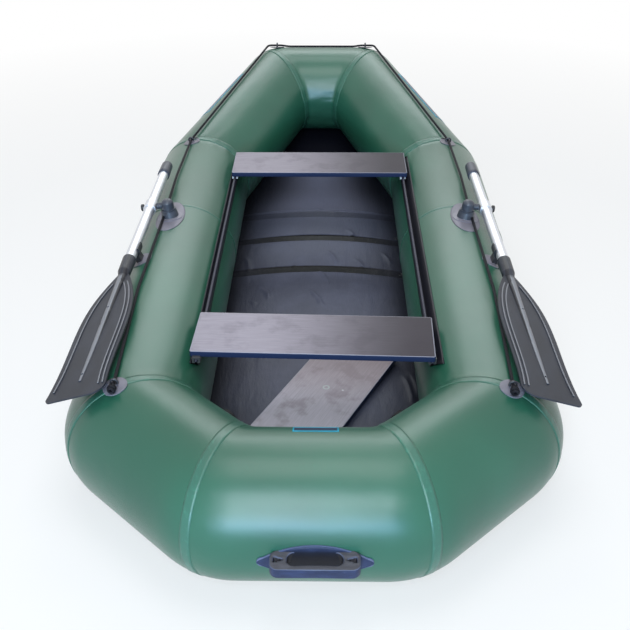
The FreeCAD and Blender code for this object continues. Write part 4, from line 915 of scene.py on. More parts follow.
class RiggingSettings(bpy.types.PropertyGroup):
    line_radius: length("Line radius", "Radius of the grab line", 0.004)
    line_lift: length("Line lift", "Height of the line's middle over the tubes", 0.0086)
    line_colour: colour("Line colour", "Black of the grab line", (0.006, 0.006, 0.009))
    knot_turns: IntProperty(name="Knot turns", description="Turns of the knots at the line's ends", default=3)
    eye_colour: colour("Eye colour", "Dark blue grey of the line's eyes", (0.022, 0.024, 0.032))
    eye_base: length("Eye base", "Thickness at which an eye's patch ends and its loop starts", 0.0040)
    handle_colour: colour("Handle colour", "Navy of the carry handles", (0.021, 0.030, 0.071))
    # The top's grey brown is partly wear and partly painted light from above.
    grip_top_wear_and_light_colour: colour("Grip top colour", "Grey brown of the grips' tops", (0.075, 0.072, 0.085))
    patch_angle: plain("Patch angle", "Angle of the patch over the tube's side, in degrees", -3.2)
    grip_angle: plain("Grip angle", "Angle of the grip over the tube's side, in degrees", 2.3)
    handle_shift: length("Handle shift", "Distance of the stern handle from the middle to starboard", 0.010)
    grip_sag: plain("Grip sag", "Slope of the grip below level, in degrees", 6.0)
    lens_length: length("Patch length", "Length of the handle's patch", 0.248)
    lens_width: length("Patch width", "Width of the handle's patch", 0.090)
    lens_end: length("Patch end", "Radius of the patch's round ends", 0.013)
    lens_thickness: length("Patch thickness", "Thickness of the patch", 0.004)
    grip_length: length("Grip length", "Length of the grip over its feet", 0.190)
    grip_reach: length("Grip reach", "How far the grip stands out from the tube", 0.0475)
    grip_root: length("Grip root", "How far the grip's feet go into the patch", 0.004)
    grip_root_gap: length("Slot setback", "Distance of the finger slot from the skin", 0.002)
    grip_height: length("Grip height", "Height of the grip's bar", 0.028)
    grip_corner: length("Grip corner", "Rounding of the grip's outer corners", 0.017)
    grip_rounding: length("Grip rounding", "Rounding of the grip's edges", 0.0035)
    slot_length: length("Slot length", "Length of the finger slot", 0.118)
    slot_width: length("Slot width", "Width of the finger slot", 0.036)
    bar_arch: length("Bar arch", "How far the slot's outer side arches in at its middle", 0.004)
    pocket_depth: length("Pocket depth", "Depth of the pockets beside the slot", 0.008)
    plate_colour: colour("Plate colour", "Dark blue of the blank plates", (0.006, 0.020, 0.060))
    rim_colour: colour("Rim colour", "Light blue of the blank plates' rims", (0.020, 0.420, 0.620))


class StageSettings(bpy.types.PropertyGroup):
    floor_colour: colour("Floor colour", "Pale grey of the floor", (0.86, 0.86, 0.86))
    sky_strength: plain("Surround light", "Strength of the even light", 0.26)
    ahead_light: plain("Light ahead", "Radiance of the two lamps ahead", 3.4)
    above_light: plain("Light above", "Radiance of the lamp above", 3.5)
    port_light: plain("Light at port", "Radiance of the tall lamp behind at port", 14.5)
    starboard_light: plain("Light at starboard", "Radiance of the lamp behind at starboard", 11.0)
    low_light: plain("Low light", "Radiance of the low blue lamp behind", 12.0)


# Pieces


def leaf(place, angle, length, half_width, steps):
    """A leaf on a tube's skin in rows across: places along the axis, angles round it, and a map in metres.

    half_width gives half its width at a distance along it. Its rows are closest at the ends, and the last
    ones stop just short of the points.
    """
    x = -np.cos(np.linspace(0, np.pi, steps[0]))[:, None] * length / 2 * LEAF_SHARE
    across = half_width(x) * np.linspace(-1, 1, steps[1])
    return place + x, angle + across / TUBE_RADIUS, np.stack(np.broadcast_arrays(x, across), -1)


class BOAT_OT_hull(bpy.types.Operator):
    """Makes the ten inflated tubes and gives the bottom sheets their cloth"""

    bl_idname = "boat.hull"
    bl_label = "Hull Tubes"

    def execute(self, context):
        hull = context.scene.boat_hull
        skin = coated_cloth("coated_cloth_green", hull.skin_colour, 0.27)
        for run, node in enumerate(RUN_NODES):
            made = tube_mesh("skin_" + node, *run_surface(run, hull))
            dress(made, "hull", "tube_pvc", skin, node)
        refinish(coated_cloth("coated_cloth_bottom", hull.bottom_colour, 0.5), "bottom_flat")
        return {"FINISHED"}


class BOAT_OT_tapes(bpy.types.Operator):
    """Lays the seam tapes beside the mitres"""

    bl_idname = "boat.tapes"
    bl_label = "Seam Tapes"

    def execute(self, context):
        hull = context.scene.boat_hull
        # The tapes' lighter green and strong pale scuffs are partly wear and partly painted highlight.
        tape = coated_cloth("coated_cloth_tape", hull.tape_and_highlight_colour, 0.27, worn=0.6, paleness=2.2)
        wide, thin = hull.tape_width, hull.side_tape_width
        # Corner, signed width and name of each starboard tape. Its port twin is at the mirrored corner.
        starboard = ((0, wide, "stern"), (1, -wide, "quarter"), (2, thin, "side"), (3, wide, "shoulder"),
                     (4, -wide, "bow"))
        for corner, width, name in starboard:
            for at, signed, side in ((corner, width, "right"), (STERN - corner, -width, "left")):
                band = band_surface(at, signed, hull)
                made = tube_mesh(f"seam_tape_{name}_{side}", *band, round_rows=True)
                dress(made, "hull", "tube_pvc", tape)
        return {"FINISHED"}


def fold_height(x, y, floor):
    """Height of the folds: along each segment a bell across it, exp(-(d/w)^2), that fades to its ends."""
    total = np.zeros_like(x)
    for start, end, height in MAT_FOLDS:
        span = np.subtract(end, start)
        size = math.hypot(*span)
        along = ((x - start[0]) * span[0] + (y - start[1]) * span[1]) / size
        across = ((y - start[1]) * span[0] - (x - start[0]) * span[1]) / size
        across = across - FOLD_BOW * np.sin(np.pi * along / size)
        ends = (along + FOLD_RUN_OUT, size + FOLD_RUN_OUT - along)
        fade = smooth_step(ends[0] / FOLD_FADE) * smooth_step(ends[1] / FOLD_FADE)
        total += floor.fold_share * height * fade * np.exp(-(across / floor.fold_width) ** 2)
    return total


def mat_height(x, y, floor):
    """Height of the mat's top: an arc across with flat lower bands, folds in the cover and low waves.

    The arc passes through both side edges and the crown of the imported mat.
    """
    crown = MAT_HIGH.z - MAT_LOW.z
    rise = crown - floor.cover_thickness
    radius = (MAT_HIGH.x ** 2 + rise ** 2) / (2 * rise)
    arc = MAT_LOW.z + crown - radius + np.sqrt(radius ** 2 - x ** 2)
    band = np.zeros_like(x)
    for band_y, share in MAT_BANDS:
        band += share * (1 - smooth_step((np.abs(y - band_y) - floor.band_width / 2) / BAND_EASE + 0.5))
    waves = np.sin(9.0 * x + 2.0 * y + 1.0) * np.sin(21.0 * y + 3.0 * x) + 0.5 * np.sin(33.0 * y + 11.0 * x)
    fore = smooth_step((y + 0.10) / 0.35)
    relief = fold_height(x, y, floor) + WAVE_HEIGHT * waves * (0.5 + 1.6 * fore)
    return arc - floor.band_depth * band + relief * (1 - 0.7 * np.clip(band, 0, 1)) - COVER_SINK


def arc(centre, radius, angles):
    """Points of a flat circle at the given angles."""
    return np.array(centre) + radius * np.stack([np.cos(angles), np.sin(angles)], -1)


def rounded_outline(size, radius):
    """A rectangle with arcs at its corners, counted anticlockwise round its middle."""
    quarter = np.linspace(0, np.pi / 2, 7)
    reach = (size[0] / 2 - radius, size[1] / 2 - radius)
    corners = enumerate(((1, 1), (-1, 1), (-1, -1), (1, -1)))
    return np.concatenate([
        arc(np.multiply(signs, reach), radius, quarter + number * np.pi / 2) for number, signs in corners])


def board_mesh(name, centre, size, thickness, corner, turn):
    """A board with eased edges: rings of its outline set in by the bevel, and flat faces inside the last."""
    turned = np.array(((math.cos(turn), math.sin(turn)), (-math.sin(turn), math.cos(turn))))
    middle = np.array(centre)
    ease = np.linspace(0, np.pi / 2, 4)
    over = [(BOARD_BEVEL * (1 - math.cos(a)), BOARD_BEVEL * (1 - math.sin(a))) for a in ease]
    inner = 6 * BOARD_BEVEL
    under = [(inset, thickness - drop) for inset, drop in over]
    profile = [(inner, 0.0), *over[::-1], *under, (inner, thickness)]
    rings = []
    for inset, drop in profile[::-1]:
        inset_size = (size[0] - 2 * inset, size[1] - 2 * inset)
        flat = rounded_outline(inset_size, max(corner - inset, 0.0005)) @ turned
        rings.append(np.concatenate([flat, np.full((len(flat), 1), -drop)], 1) + middle)

    def flat_map(points):
        return (points - middle)[:, :2] @ turned.T

    return tube_mesh(name, np.stack(rings), flat_map=flat_map)


class BOAT_OT_floor(bpy.types.Operator):
    """Makes the mat's cover with its folds and eyelets, and the loose plank"""

    bl_idname = "boat.floor"
    bl_label = "Floor"

    def execute(self, context):
        floor = context.scene.boat_floor
        rows = np.linspace(MAT_LOW.y, MAT_HIGH.y, MAT_ROWS)
        quarter = unit(CORNERS[1] - CORNERS[0])
        outward = np.array((quarter[1], -quarter[0]))
        limit = CORNERS[0][:2] @ outward - floor.diagonal_inset
        half = np.minimum(MAT_HIGH.x, (limit - rows * outward[1]) / outward[0])
        x = half[:, None] * np.linspace(-1, 1, MAT_COLUMNS)
        y = np.repeat(rows[:, None], MAT_COLUMNS, 1)
        top = np.stack([x, y, mat_height(x, y, floor)], -1)
        bottom = top - (0, 0, floor.cover_thickness)
        bottom[..., 2] = np.maximum(bottom[..., 2], MAT_LOW.z)
        mat = slab_mesh("mat_cover", top, bottom)
        cover = slat_cover("slat_cover", floor.cover_colour, floor)
        dress(mat, "hull", "mat_cover", cover, "floor_mat")
        refinish(cover, "bottom_bow")
        for name, place in EYELETS:
            self.make_eyelet(name, np.array(place), floor)
        self.make_plank(context, floor)
        return {"FINISHED"}

    def make_eyelet(self, name, place, floor):
        """A black ring pressed in the mat's edge: a small oval section carried round a circle."""
        turn, section = turns(32)[:, None], turns(10)
        reach = EYELET_RADIUS + EYELET_SECTION[0] * np.cos(section)
        height = mat_height(place[:1], place[1:], floor)[0] + EYELET_SECTION[1] * np.sin(section)
        ring = np.stack(np.broadcast_arrays(
            place[0] + np.cos(turn) * reach, place[1] + np.sin(turn) * reach, height), -1)
        black = moulded("eyelet_black_" + name, EYELET_BLACK, 0.3)
        dress(tube_mesh("mat_eyelet_" + name, ring, round_rows=True), "hull", "lock_plastic", black)

    def make_plank(self, context, floor):
        """The loose plank, turned about its middle."""
        centre = (*floor.plank_middle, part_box("floor_plank")[1].z)
        size = (floor.plank_length, floor.plank_width)
        turn = math.radians(floor.plank_turn)
        plank = board_mesh("plank_board", centre, size, floor.plank_thickness, PLANK_CORNER, turn)
        # The plank's edges take the boards' navy edge paint, which here also stands as painted shadow beside
        # the plank.
        colours = (floor.plank_colour, floor.plank_stain_colour, context.scene.boat_seats.edge_colour)
        film = film_board("plank_film", *colours, size, 0.6, PLANK_MARKS)
        dress(plank, "hull", "faced_plywood", film, "floor_plank")


def rail_section(edge_angle):
    """A starboard rail's outline (x, z): up the web's inner face, round the bead, and out on the strip."""
    lean = math.asin(WEB_THICKNESS / 2 / BEAD_RADIUS)
    arcs = [arc((RAIL_X, BEAD_Z), BEAD_RADIUS, np.linspace(1.5 * np.pi - lean, -0.5 * np.pi + lean, 18))]
    for radius, side in ((TUBE_RADIUS + RAIL_THICKNESS, 1), (TUBE_RADIUS - RAIL_SINK, -1)):
        start = math.acos((RAIL_X + side * WEB_THICKNESS / 2 - SIDE_AXIS_X) / radius)
        spread = np.linspace(start, math.radians(edge_angle), 9)[::side]
        arcs.append(arc((SIDE_AXIS_X, AXIS_HEIGHT), radius, spread))
    return np.concatenate(arcs)


class BOAT_OT_seats(bpy.types.Operator):
    """Makes the seat boards and the rails, and finishes the profiles"""

    bl_idname = "boat.seats"
    bl_label = "Seats"

    def execute(self, context):
        seats = context.scene.boat_seats
        # Each board's name, shift to starboard and forward, and turn
        boards = (
            ("seat_aft", -BOARD_SHIFT, seats.aft_lead, -seats.aft_turn), ("seat_fore", BOARD_SHIFT, 0.0, 0.0))
        for name, aside, lead, turn in boards:
            low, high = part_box(name + "_board")
            size = (high.x - low.x + seats.overhang, high.y - low.y)
            centre = ((low.x + high.x) / 2 + aside, (low.y + high.y) / 2 + lead, high.z)
            label = name + "_film"
            made = board_mesh(label, centre, size, seats.board_depth, seats.corner_radius, math.radians(turn))
            film = film_board(label, seats.film_colour, seats.starboard_shade_colour, seats.edge_colour, size, 0.2)
            dress(made, name, "faced_plywood", film, name + "_board")
        # The aft profiles are painted nearly black as shade; the fore ones keep their white.
        for end, share in (("aft", 0.08), ("fore", 1.0)):
            plastic = moulded("profile_plastic_" + end, rgb(seats.profile_colour, share), 0.4)
            refinish(plastic, f"seat_{end}_profiles")
        rubber = rail_rubber("rail_rubber", seats)
        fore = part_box("seat_rail_right")[1].y
        for (side, mirror), edge_angle in zip(SIDES, STRIP_ENDS):
            section = rail_section(edge_angle)
            slant = (BEAD_Z - section[:, 1]) * seats.rail_slant
            aft = np.stack([section[:, 0] * mirror, seats.rail_aft + slant, section[:, 1]], -1)
            share = np.linspace(0, 1, 40)[:, None, None]
            grid = aft + share * (AHEAD * (fore - aft[:, 1:2]))
            dress(tube_mesh("rail_strip_" + side, grid), "hull", "rail_strip", rubber, "seat_rail_" + side)
        return {"FINISHED"}


def middle_of(node):
    """The middle of a node's box."""
    return np.mean(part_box(node), axis=0)


def shaft_axis(side, oars):
    """The direction of an oar's shaft towards its grip, and its middle.

    The sides of the shaft's box are L |d| + 2 r sqrt(1 - d^2), which is solved for the direction d in steps.
    """
    low, high = (np.array(corner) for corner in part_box("oar_shaft_" + side))
    way = unit(high - low)
    for _ in range(20):
        way = unit(high - low - 2 * oars.shaft_radius * np.sqrt(1 - way ** 2))
    return way * np.sign(middle_of("oar_grip_" + side) - middle_of("oar_blade_" + side)), (low + high) / 2


def grip_cap(side, oars):
    """A smooth bullet-shaped cap turned round the shaft's axis."""
    way, centre = shaft_axis(side, oars)
    centre = centre + way * ((middle_of("oar_grip_" + side) - centre) @ way)
    half, wide = oars.grip_length / 2, oars.grip_radius * CAP_WIDER
    dome = np.linspace(0, np.pi / 2, 12)[:-1]
    tip = [(half + CAP_DOME * (math.sin(a) - 1), oars.grip_radius * math.cos(a) ** 0.7) for a in dome]
    foot = [
        (-half, oars.shaft_radius), (-half, wide - CAP_BEVEL),
        (CAP_BEVEL - half, wide), (CAP_SLEEVE - half, wide)]
    across = unit(np.cross(way, UP))
    turn = turns(48)[:, None]
    ring = np.cos(turn) * across + np.sin(turn) * np.cross(way, across)
    rings = np.stack([centre + way * along + ring * radius for along, radius in foot + tip])
    return tube_mesh("grip_cap_" + side, rings)



def facing(vector, axis, sign=1):
    """The unit vector along a line that has the wanted sign on an axis."""
    return unit(vector) * np.sign(vector[axis] * sign)


class BOAT_OT_oars(bpy.types.Operator):
    """Makes the smooth grips and the glued ovals, and finishes the oars, the oarlocks and the clips"""

    bl_idname = "boat.oars"
    bl_label = "Oars"

    def execute(self, context):
        oars = context.scene.boat_oars
        cap = moulded("oar_plastic_grip", oars.grip_colour, 0.32, 0.0001, 0.1, shine=0.4)
        glued = moulded("glued_oval_grey", oars.patch_colour, 0.4, 0.0001, 0.1, shine=0.3)
        for side, mirror in SIDES:
            grip_way, shaft_middle = shaft_axis(side, oars)
            stem = (math.sin(LOCK_LEAN) * mirror, 0.0, math.cos(LOCK_LEAN))
            out = facing(np.cross(stem, grip_way), 0, mirror)
            upright = facing(np.cross(grip_way, out), 2)
            over = math.cos(BLADE_ROLL) * upright + math.sin(BLADE_ROLL) * out
            across = math.cos(BLADE_ROLL) * out - math.sin(BLADE_ROLL) * upright
            axes = (-grip_way, across, over)
            slate = blade_plastic("oar_plastic_slate_" + side, axes, shaft_middle, oars)
            refinish(slate, "oar_blade_" + side)
            dress(grip_cap(side, oars), "oar_" + side, "oar_plastic", cap, "oar_grip_" + side)
            self.make_oval(side, mirror, oars, glued)
        tube = drawn_metal("shaft_drawn_tube", oars.shaft_colour, 0.32)
        refinish(tube, "oar_shaft_*", "oar_collar_*")
        refinish(moulded("pin_knob_black", oars.knob_colour, 0.3, 0.0001, 0.1), "oar_pin_*")
        refinish(moulded("lock_plastic_black", oars.lock_colour, 0.34), "oarlock_head_*")
        base = two_tone("lock_base_rubber", oars.patch_colour, oars.lock_colour, oars.patch_height)
        refinish(base, "oarlock_base_*")
        clip = two_tone("clip_rubber", oars.patch_colour, oars.knob_colour, oars.patch_height)
        refinish(clip, "oar_clip_*")
        return {"FINISHED"}

    def make_oval(self, side, mirror, oars, finish):
        """A thin oval on the side tube: half width w sqrt(1 - (x / l)^2) at x along it."""
        length, width = oars.patch_size
        place, turned, _ = leaf(
            oars.patch_place, math.radians(oars.patch_angle), length,
            lambda x: width / 2 * np.sqrt(1 - (2 * x / length) ** 2), OVAL_STEPS)
        top, under = (
            on_tube(SIDE_AFT, place, turned, lift) * (mirror, 1, 1) for lift in (OVAL_LIFT, -PATCH_SINK))
        dress(slab_mesh("glued_oval_" + side, top, under), "hull", "moulded_rubber", finish)


def travelled_along(path):
    """The distance of each point of a path from its start."""
    return np.concatenate([[0], np.cumsum(np.linalg.norm(np.diff(path, axis=0), axis=1))])


def rounded_route(corners, radii, step):
    """Points a step apart on straight spans with a tangent arc of the given radius at each inner corner."""
    points = [corners[:1]]
    for before, here, after, radius in zip(corners, corners[1:], corners[2:], radii):
        back, ahead = unit(before - here), unit(after - here)
        half_turn = (math.pi - math.acos(float(np.clip(back @ ahead, -1, 1)))) / 2
        centre = here + unit(back + ahead) * radius / math.cos(half_turn)
        sweep = np.linspace(-half_turn, half_turn, max(3, int(2 * half_turn * radius / step) + 2))[:, None]
        inward = unit(here - centre)
        points.append(centre + radius * (inward * np.cos(sweep) + unit(ahead - back) * np.sin(sweep)))
    points.append(corners[-1:])
    route = np.concatenate(points)
    travelled = travelled_along(route)
    even = np.linspace(0, travelled[-1], int(travelled[-1] / step) + 1)
    return np.stack([np.interp(even, travelled, route[:, axis]) for axis in range(3)], -1)


def along_path(path, sides, radius, side_of):
    """Rings of a round line: at each point of the path a circle across it, with its map along and round."""
    tangent = unit(np.gradient(path, axis=0))
    side = unit(side_of - (side_of * tangent).sum(-1, keepdims=True) * tangent)
    other = np.cross(tangent, side)
    angles = turns(sides)
    rings = side[:, None] * np.cos(angles)[:, None] + other[:, None] * np.sin(angles)[:, None]
    return path[:, None] + rings * radius, wrapped_map(radius, sides, travelled_along(path)[:, None])


def side_point(angle, y, height):
    """A point over the starboard side tube, at an angle in degrees outboard of its top."""
    a = math.radians(angle)
    reach = TUBE_RADIUS + height
    return np.array((SIDE_AXIS_X + math.sin(a) * reach, y, AXIS_HEIGHT + math.cos(a) * reach))


def line_corners(rig):
    """The corners of the grab line's starboard half, from its aft end to the bow corner."""
    eye_y, lock_y = SIDE_AFT_Y - EYE_SETBACK, SEAM_Y - LOCK_SETBACK
    corner_y = middle_of("rope_eye_side_right")[1]
    places = (
        (EYE_ANGLE, eye_y - TAIL_LENGTH), (EYE_ANGLE, eye_y), (SPAN_ANGLE, (eye_y + lock_y) / 2),
        (EYE_ANGLE, lock_y), (SPAN_ANGLE, (lock_y + corner_y) / 2), (SIDE_EYE_ANGLE, corner_y))
    corners = [side_point(angle, y, rig.line_lift) for angle, y in places]
    past_lock = math.radians(EYE_ANGLE)
    corners[3] += LOCK_STANDOFF * np.array((math.cos(past_lock), 0, -math.sin(past_lock)))
    reach, bow = TUBE_RADIUS + rig.line_lift, math.radians(BOW_EYE_ANGLE)
    bow_x = middle_of("rope_eye_bow_right")[0] + BOW_EYE_ASIDE
    corners.append((bow_x, BOW_AXIS_Y + math.sin(bow) * reach, BOW_AXIS_HEIGHT + math.cos(bow) * reach))
    return np.array(corners)


def knot_path(end, rig):
    """A helix round the line's end: its radius is that of the line times 1.4 at its ends and 2.2 between."""
    t = np.linspace(0, 1, 40 * rig.knot_turns)
    spin = 2 * np.pi * rig.knot_turns * t
    reach = rig.line_radius * (2.2 - 0.8 * np.abs(2 * t - 1))
    ahead = (t - 0.5) * rig.line_radius * 1.7 * rig.knot_turns + KNOT_SHIFT
    return end + np.stack([np.cos(spin) * reach, ahead, np.sin(spin) * reach], -1)


class BOAT_OT_rigging(bpy.types.Operator):
    """Makes the grab line with its knots and finishes the eyes"""

    bl_idname = "boat.rigging"
    bl_label = "Grab Line"

    def execute(self, context):
        rig = context.scene.boat_rigging
        starboard = line_corners(rig)
        corners = np.concatenate([starboard, starboard[::-1] * (-1, 1, 1)])
        path = rounded_route(corners, ROUTE_RADII + ROUTE_RADII[::-1], ROPE_STEP)
        # Between the bow's eyes the line lies on the tube
        eye_x = middle_of("rope_eye_bow_right")[0]
        lying = smooth_step((eye_x - LYING_INSET - np.abs(path[:, 0])) / LYING_EASE)
        lying *= path[:, 1] > SIDE_FORE_Y
        inward = unit((np.array((0.0, BOW_AXIS_Y, BOW_AXIS_HEIGHT)) - path) * (0, 1, 1))
        path = path + inward * (lying * (rig.line_lift - rig.line_radius - LINE_GAP))[:, None]
        cord = braided_cord("braided_line_black", rig.line_colour, rig.line_radius)
        rings = along_path(path, ROPE_SIDES, rig.line_radius, UP)
        dress(tube_mesh("grab_line_braid", *rings), "hull", "rope_cord", cord, "grab_line")
        for end, side in ((corners[0], "right"), (corners[-1], "left")):
            rings = along_path(knot_path(end, rig), KNOT_SIDES, rig.line_radius * KNOT_STRAND, AHEAD)
            dress(tube_mesh("line_knot_" + side, *rings), "hull", "rope_cord", cord)
        refinish(moulded("eye_rubber_dark", rig.eye_colour, 0.45), "rope_eye_bow_*")
        patch_colour = context.scene.boat_oars.patch_colour
        glued = two_tone("eye_rubber", rgb(patch_colour, 0.8), rig.eye_colour, rig.eye_base)
        refinish(glued, "rope_eye_stern_*", "rope_eye_side_*")
        return {"FINISHED"}


def lens_half_width(x, rig):
    """Half the width of the handle's patch at x: a long arc each side and small round ends."""
    tip, radius = lens_arc(rig)
    arched = np.sqrt(np.maximum(radius ** 2 - x ** 2, 0)) - radius + rig.lens_width / 2
    ends = np.sqrt(np.maximum(rig.lens_end ** 2 - (np.abs(x) - tip) ** 2, 0))
    return np.where(np.abs(x) < tip, arched, ends)


def radius_at(outline, angles):
    """Distance from the middle to a closed outline in the given directions."""
    bearing = np.arctan2(outline[:, 1], outline[:, 0])
    order = np.argsort(bearing)
    return np.interp(angles, bearing[order], np.linalg.norm(outline, axis=1)[order], period=2 * np.pi)


def dense(outline, steps=24):
    """A closed outline with its straight sides divided."""
    share = np.linspace(0, 1, steps, endpoint=False)[:, None]
    return np.concatenate([a + (b - a) * share for a, b in zip(outline, np.roll(outline, -1, axis=0))])


def handle_patch(rig):
    """The handle's patch on the stern tube as its top, its underside and its map.

    The top eases down to the outline and has a shallow groove just inside it.
    """
    place, turned, chart = leaf(
        STERN_CORNER_X, math.radians(rig.patch_angle), rig.lens_length,
        lambda x: lens_half_width(x, rig), LENS_STEPS)
    edge = lens_half_width(chart[..., 0], rig) - np.abs(chart[..., 1])
    raised = rig.lens_thickness * smooth_step(edge / LENS_EASE + 0.4)
    raised = raised - GROOVE_DEPTH * smooth_step(1 - np.abs(edge - GROOVE_INSET) / GROOVE_HALF)
    return on_tube(STERN, place, turned, raised), on_tube(STERN, place, turned, -PATCH_SINK), chart


def handle_grip(rig):
    """The moulded bridge as rings of its section round the finger slot, in metres along, out and up.

    A ring's section goes over the top from the slot to the outer edge, down, back under and up in the slot,
    with quarter rounds at its four corners. Two triangular pockets are sunk in the top beside the slot.
    The map's first value is how deep a point lies in a pocket or in the slot.
    """
    angles = np.linspace(-np.pi, np.pi, GRIP_STEPS, endpoint=False)
    slot = dense(rounded_outline((rig.slot_length, rig.slot_width), rig.slot_width / 2 - 0.0005))
    rim = dense(rounded_outline((rig.grip_length, rig.grip_reach + rig.grip_root), rig.grip_corner))
    slot_out = rig.grip_root_gap + rig.slot_width / 2
    rim_out = (rig.grip_reach - rig.grip_root) / 2
    inner = radius_at(slot, angles)
    outer = radius_at(rim + (0.0, rim_out - slot_out), angles)
    ease, half = rig.grip_rounding, rig.grip_height / 2
    quarter = np.linspace(0, np.pi / 2, 4)
    rounding = [(ease * (1 - math.sin(a)), half - ease * (1 - math.cos(a))) for a in quarter]
    near, between, far = range(3)
    over = [(inset, high, near) for inset, high in rounding[::-1]]
    over += [(share, half, between) for share in np.linspace(0, 1, 12)[1:-1]]
    over += [(inset, high, far) for inset, high in rounding]
    section = over + [(place, -high, kind) for place, high, kind in over[::-1]]
    columns, depths = [], []
    for place, high, kind in section:
        reach = (inner + place, inner + ease + (outer - inner - 2 * ease) * place, outer - place)[kind]
        along = reach * np.cos(angles)
        out = reach * np.sin(angles) + slot_out
        side = np.abs(along) - rig.slot_length / 2 - POCKET_WALL
        wedge = 1 - smooth_step((np.abs(out - slot_out) - POCKET_SLOPE * side) / WEDGE_EASE + 0.5)
        last = rig.grip_length / 2 - POCKET_WALL - np.abs(along)
        pocket = wedge * smooth_step(side / POCKET_EASE) * smooth_step(last / POCKET_EASE)
        sunk = rig.pocket_depth * pocket * (high > 0) * (kind == between)
        arch = rig.bar_arch * np.cos(np.pi * np.clip(along / rig.slot_length, -0.5, 0.5))
        bar = (out > slot_out) & (np.abs(along) < rig.slot_length / 2) & (kind == near)
        out = np.where(bar, out - arch, out)
        depths.append(sunk + rig.pocket_depth * ((kind == near) & (high < half - ease / 2)))
        columns.append(np.stack([along, out, np.full(len(angles), high) - sunk], -1))
    depths = np.pad(np.stack(depths, 1), ((0, 1), (0, 1)), mode="wrap")
    return np.stack(columns, 1), np.stack([depths, np.zeros_like(depths)], -1)


class BOAT_OT_handles(bpy.types.Operator):
    """Makes the carry handles' patches and grips and finishes the air valves"""

    bl_idname = "boat.handles"
    bl_label = "Handles and Valves"

    def execute(self, context):
        rig = context.scene.boat_rigging
        lift, sag = math.radians(rig.grip_angle), math.radians(rig.grip_sag)
        centre = np.array((0.0, STERN_AXIS_Y, AXIS_HEIGHT))
        centre += TUBE_RADIUS * np.array((0.0, -math.cos(lift), math.sin(lift)))
        axes = np.array(((1, 0, 0), (0, -math.cos(sag), -math.sin(sag)), (0, -math.sin(sag), math.cos(sag))))
        patch, under, chart = handle_patch(rig)
        grip, depths = handle_grip(rig)
        grip = grip @ axes + centre
        rubber = handle_rubber("handle_rubber_navy", rig)
        lens = lens_rubber("handle_patch_navy", rig)
        aside, rise = (rig.handle_shift, 0.0, 0.0), (0.0, 0.0, BOW_AXIS_HEIGHT - AXIS_HEIGHT)
        for end, flip, step in (("stern", (1, 1, 1), aside), ("bow", (-1, -1, 1), rise)):
            made = slab_mesh("handle_patch_" + end, patch * flip + step, under * flip + step, chart)
            dress(made, "hull", "handle_rubber", lens, "handle_" + end)
            made = tube_mesh("handle_grip_" + end, grip * flip + step, depths, round_rows=True)
            dress(made, "hull", "handle_rubber", rubber)
        refinish(moulded("valve_plastic_black", VALVE_BLACK, 0.6, shine=0.15), "air_valve_*")
        return {"FINISHED"}


class BOAT_OT_plates(bpy.types.Operator):
    """Lays the blank plates on the bow quarters and on the stern tube"""

    bl_idname = "boat.plates"
    bl_label = "Blank Plates"

    def execute(self, context):
        rig = context.scene.boat_rigging
        rim, field = (
            moulded(f"plate_{part}_blue", colour, roughness, 0.00003, 0.1)
            for part, colour, roughness in (("rim", rig.rim_colour, 0.3), ("film", rig.plate_colour, 0.28)))
        bow_length = np.linalg.norm(CORNERS[4] - CORNERS[3])
        # Name, run, places along its axis, angles from outward in degrees, and the rim at ends, foot and top
        plates = (
            ("bow_right", BOW_QUARTER, bow_length - 0.496, bow_length - 0.158, 20, 57, 0.007, 2.4, 2.8),
            ("bow_left", BOW + 1, 0.158, 0.460, 20, 57, 0.007, 2.4, 2.8),
            ("stern", STERN, STERN_CORNER_X - 0.043, STERN_CORNER_X + 0.060, 107.5, 120.5, 0.0035, 1.9, 3.4))
        for name, run, start, end, low, high, inset, foot, top in plates:
            whole = (run, start, end, math.radians(low), math.radians(high))
            inner = (run, start + inset, end - inset, math.radians(low + foot), math.radians(high - top))
            layers = (("rim", whole, RIM_LIFT, rim), ("field", inner, FIELD_LIFT, field))
            for part, place, lift, finish in layers:
                top, under = patch_grid(*place, lift), patch_grid(*place, -PLATE_SINK)
                dress(slab_mesh(f"plate_{part}_{name}", top, under), "hull", "tube_pvc", finish)
        return {"FINISHED"}


# The stage

CAMERA_PLACE = (0.03403, STERN_AXIS_Y - 1.64511, 1.66138)
CAMERA_YAW = 0.8845
CAMERA_PITCH = -31.1758
CAMERA_ROLL = 0.1813
FOCAL_PIXELS = 969.33
IMAGE_PIXELS = 630
SENSOR_WIDTH = 36.0
WHITE_SHARE = 0.6
FLOOR_REACH = 30.0
FLOOR_FADE = (1.5, 3.5)
BOAT_MIDDLE = (0.0, -1.0, 0.3)

# Name, place, target, size, setting of the radiance and tint of each lamp
LAMPS = (
    ("ahead", (0.0, 5.5, 4.2), BOAT_MIDDLE, (5.0, 2.0), "ahead", (0.90, 0.97, 1.0)),
    ("bow", (0.0, 2.4, 4.5), (0.0, 1.0, 0.3), (1.2, 1.6), "ahead", (0.95, 0.98, 1.0)),
    ("above", (0.0, -0.9, 4.5), BOAT_MIDDLE, (2.2, 2.6), "above", (1.0, 1.0, 1.0)),
    ("port", (-0.52, -5.0, 2.7), (-0.3, -1.0, 1.2), (1.0, 4.6), "port", (0.74, 0.88, 1.0)),
    ("starboard", (0.72, -5.2, 4.3), BOAT_MIDDLE, (0.6, 2.0), "starboard", (0.85, 0.95, 1.0)),
    ("low", (-0.2, -6.0, 0.9), BOAT_MIDDLE, (3.0, 1.2), "low", (0.26, 0.58, 1.0)))


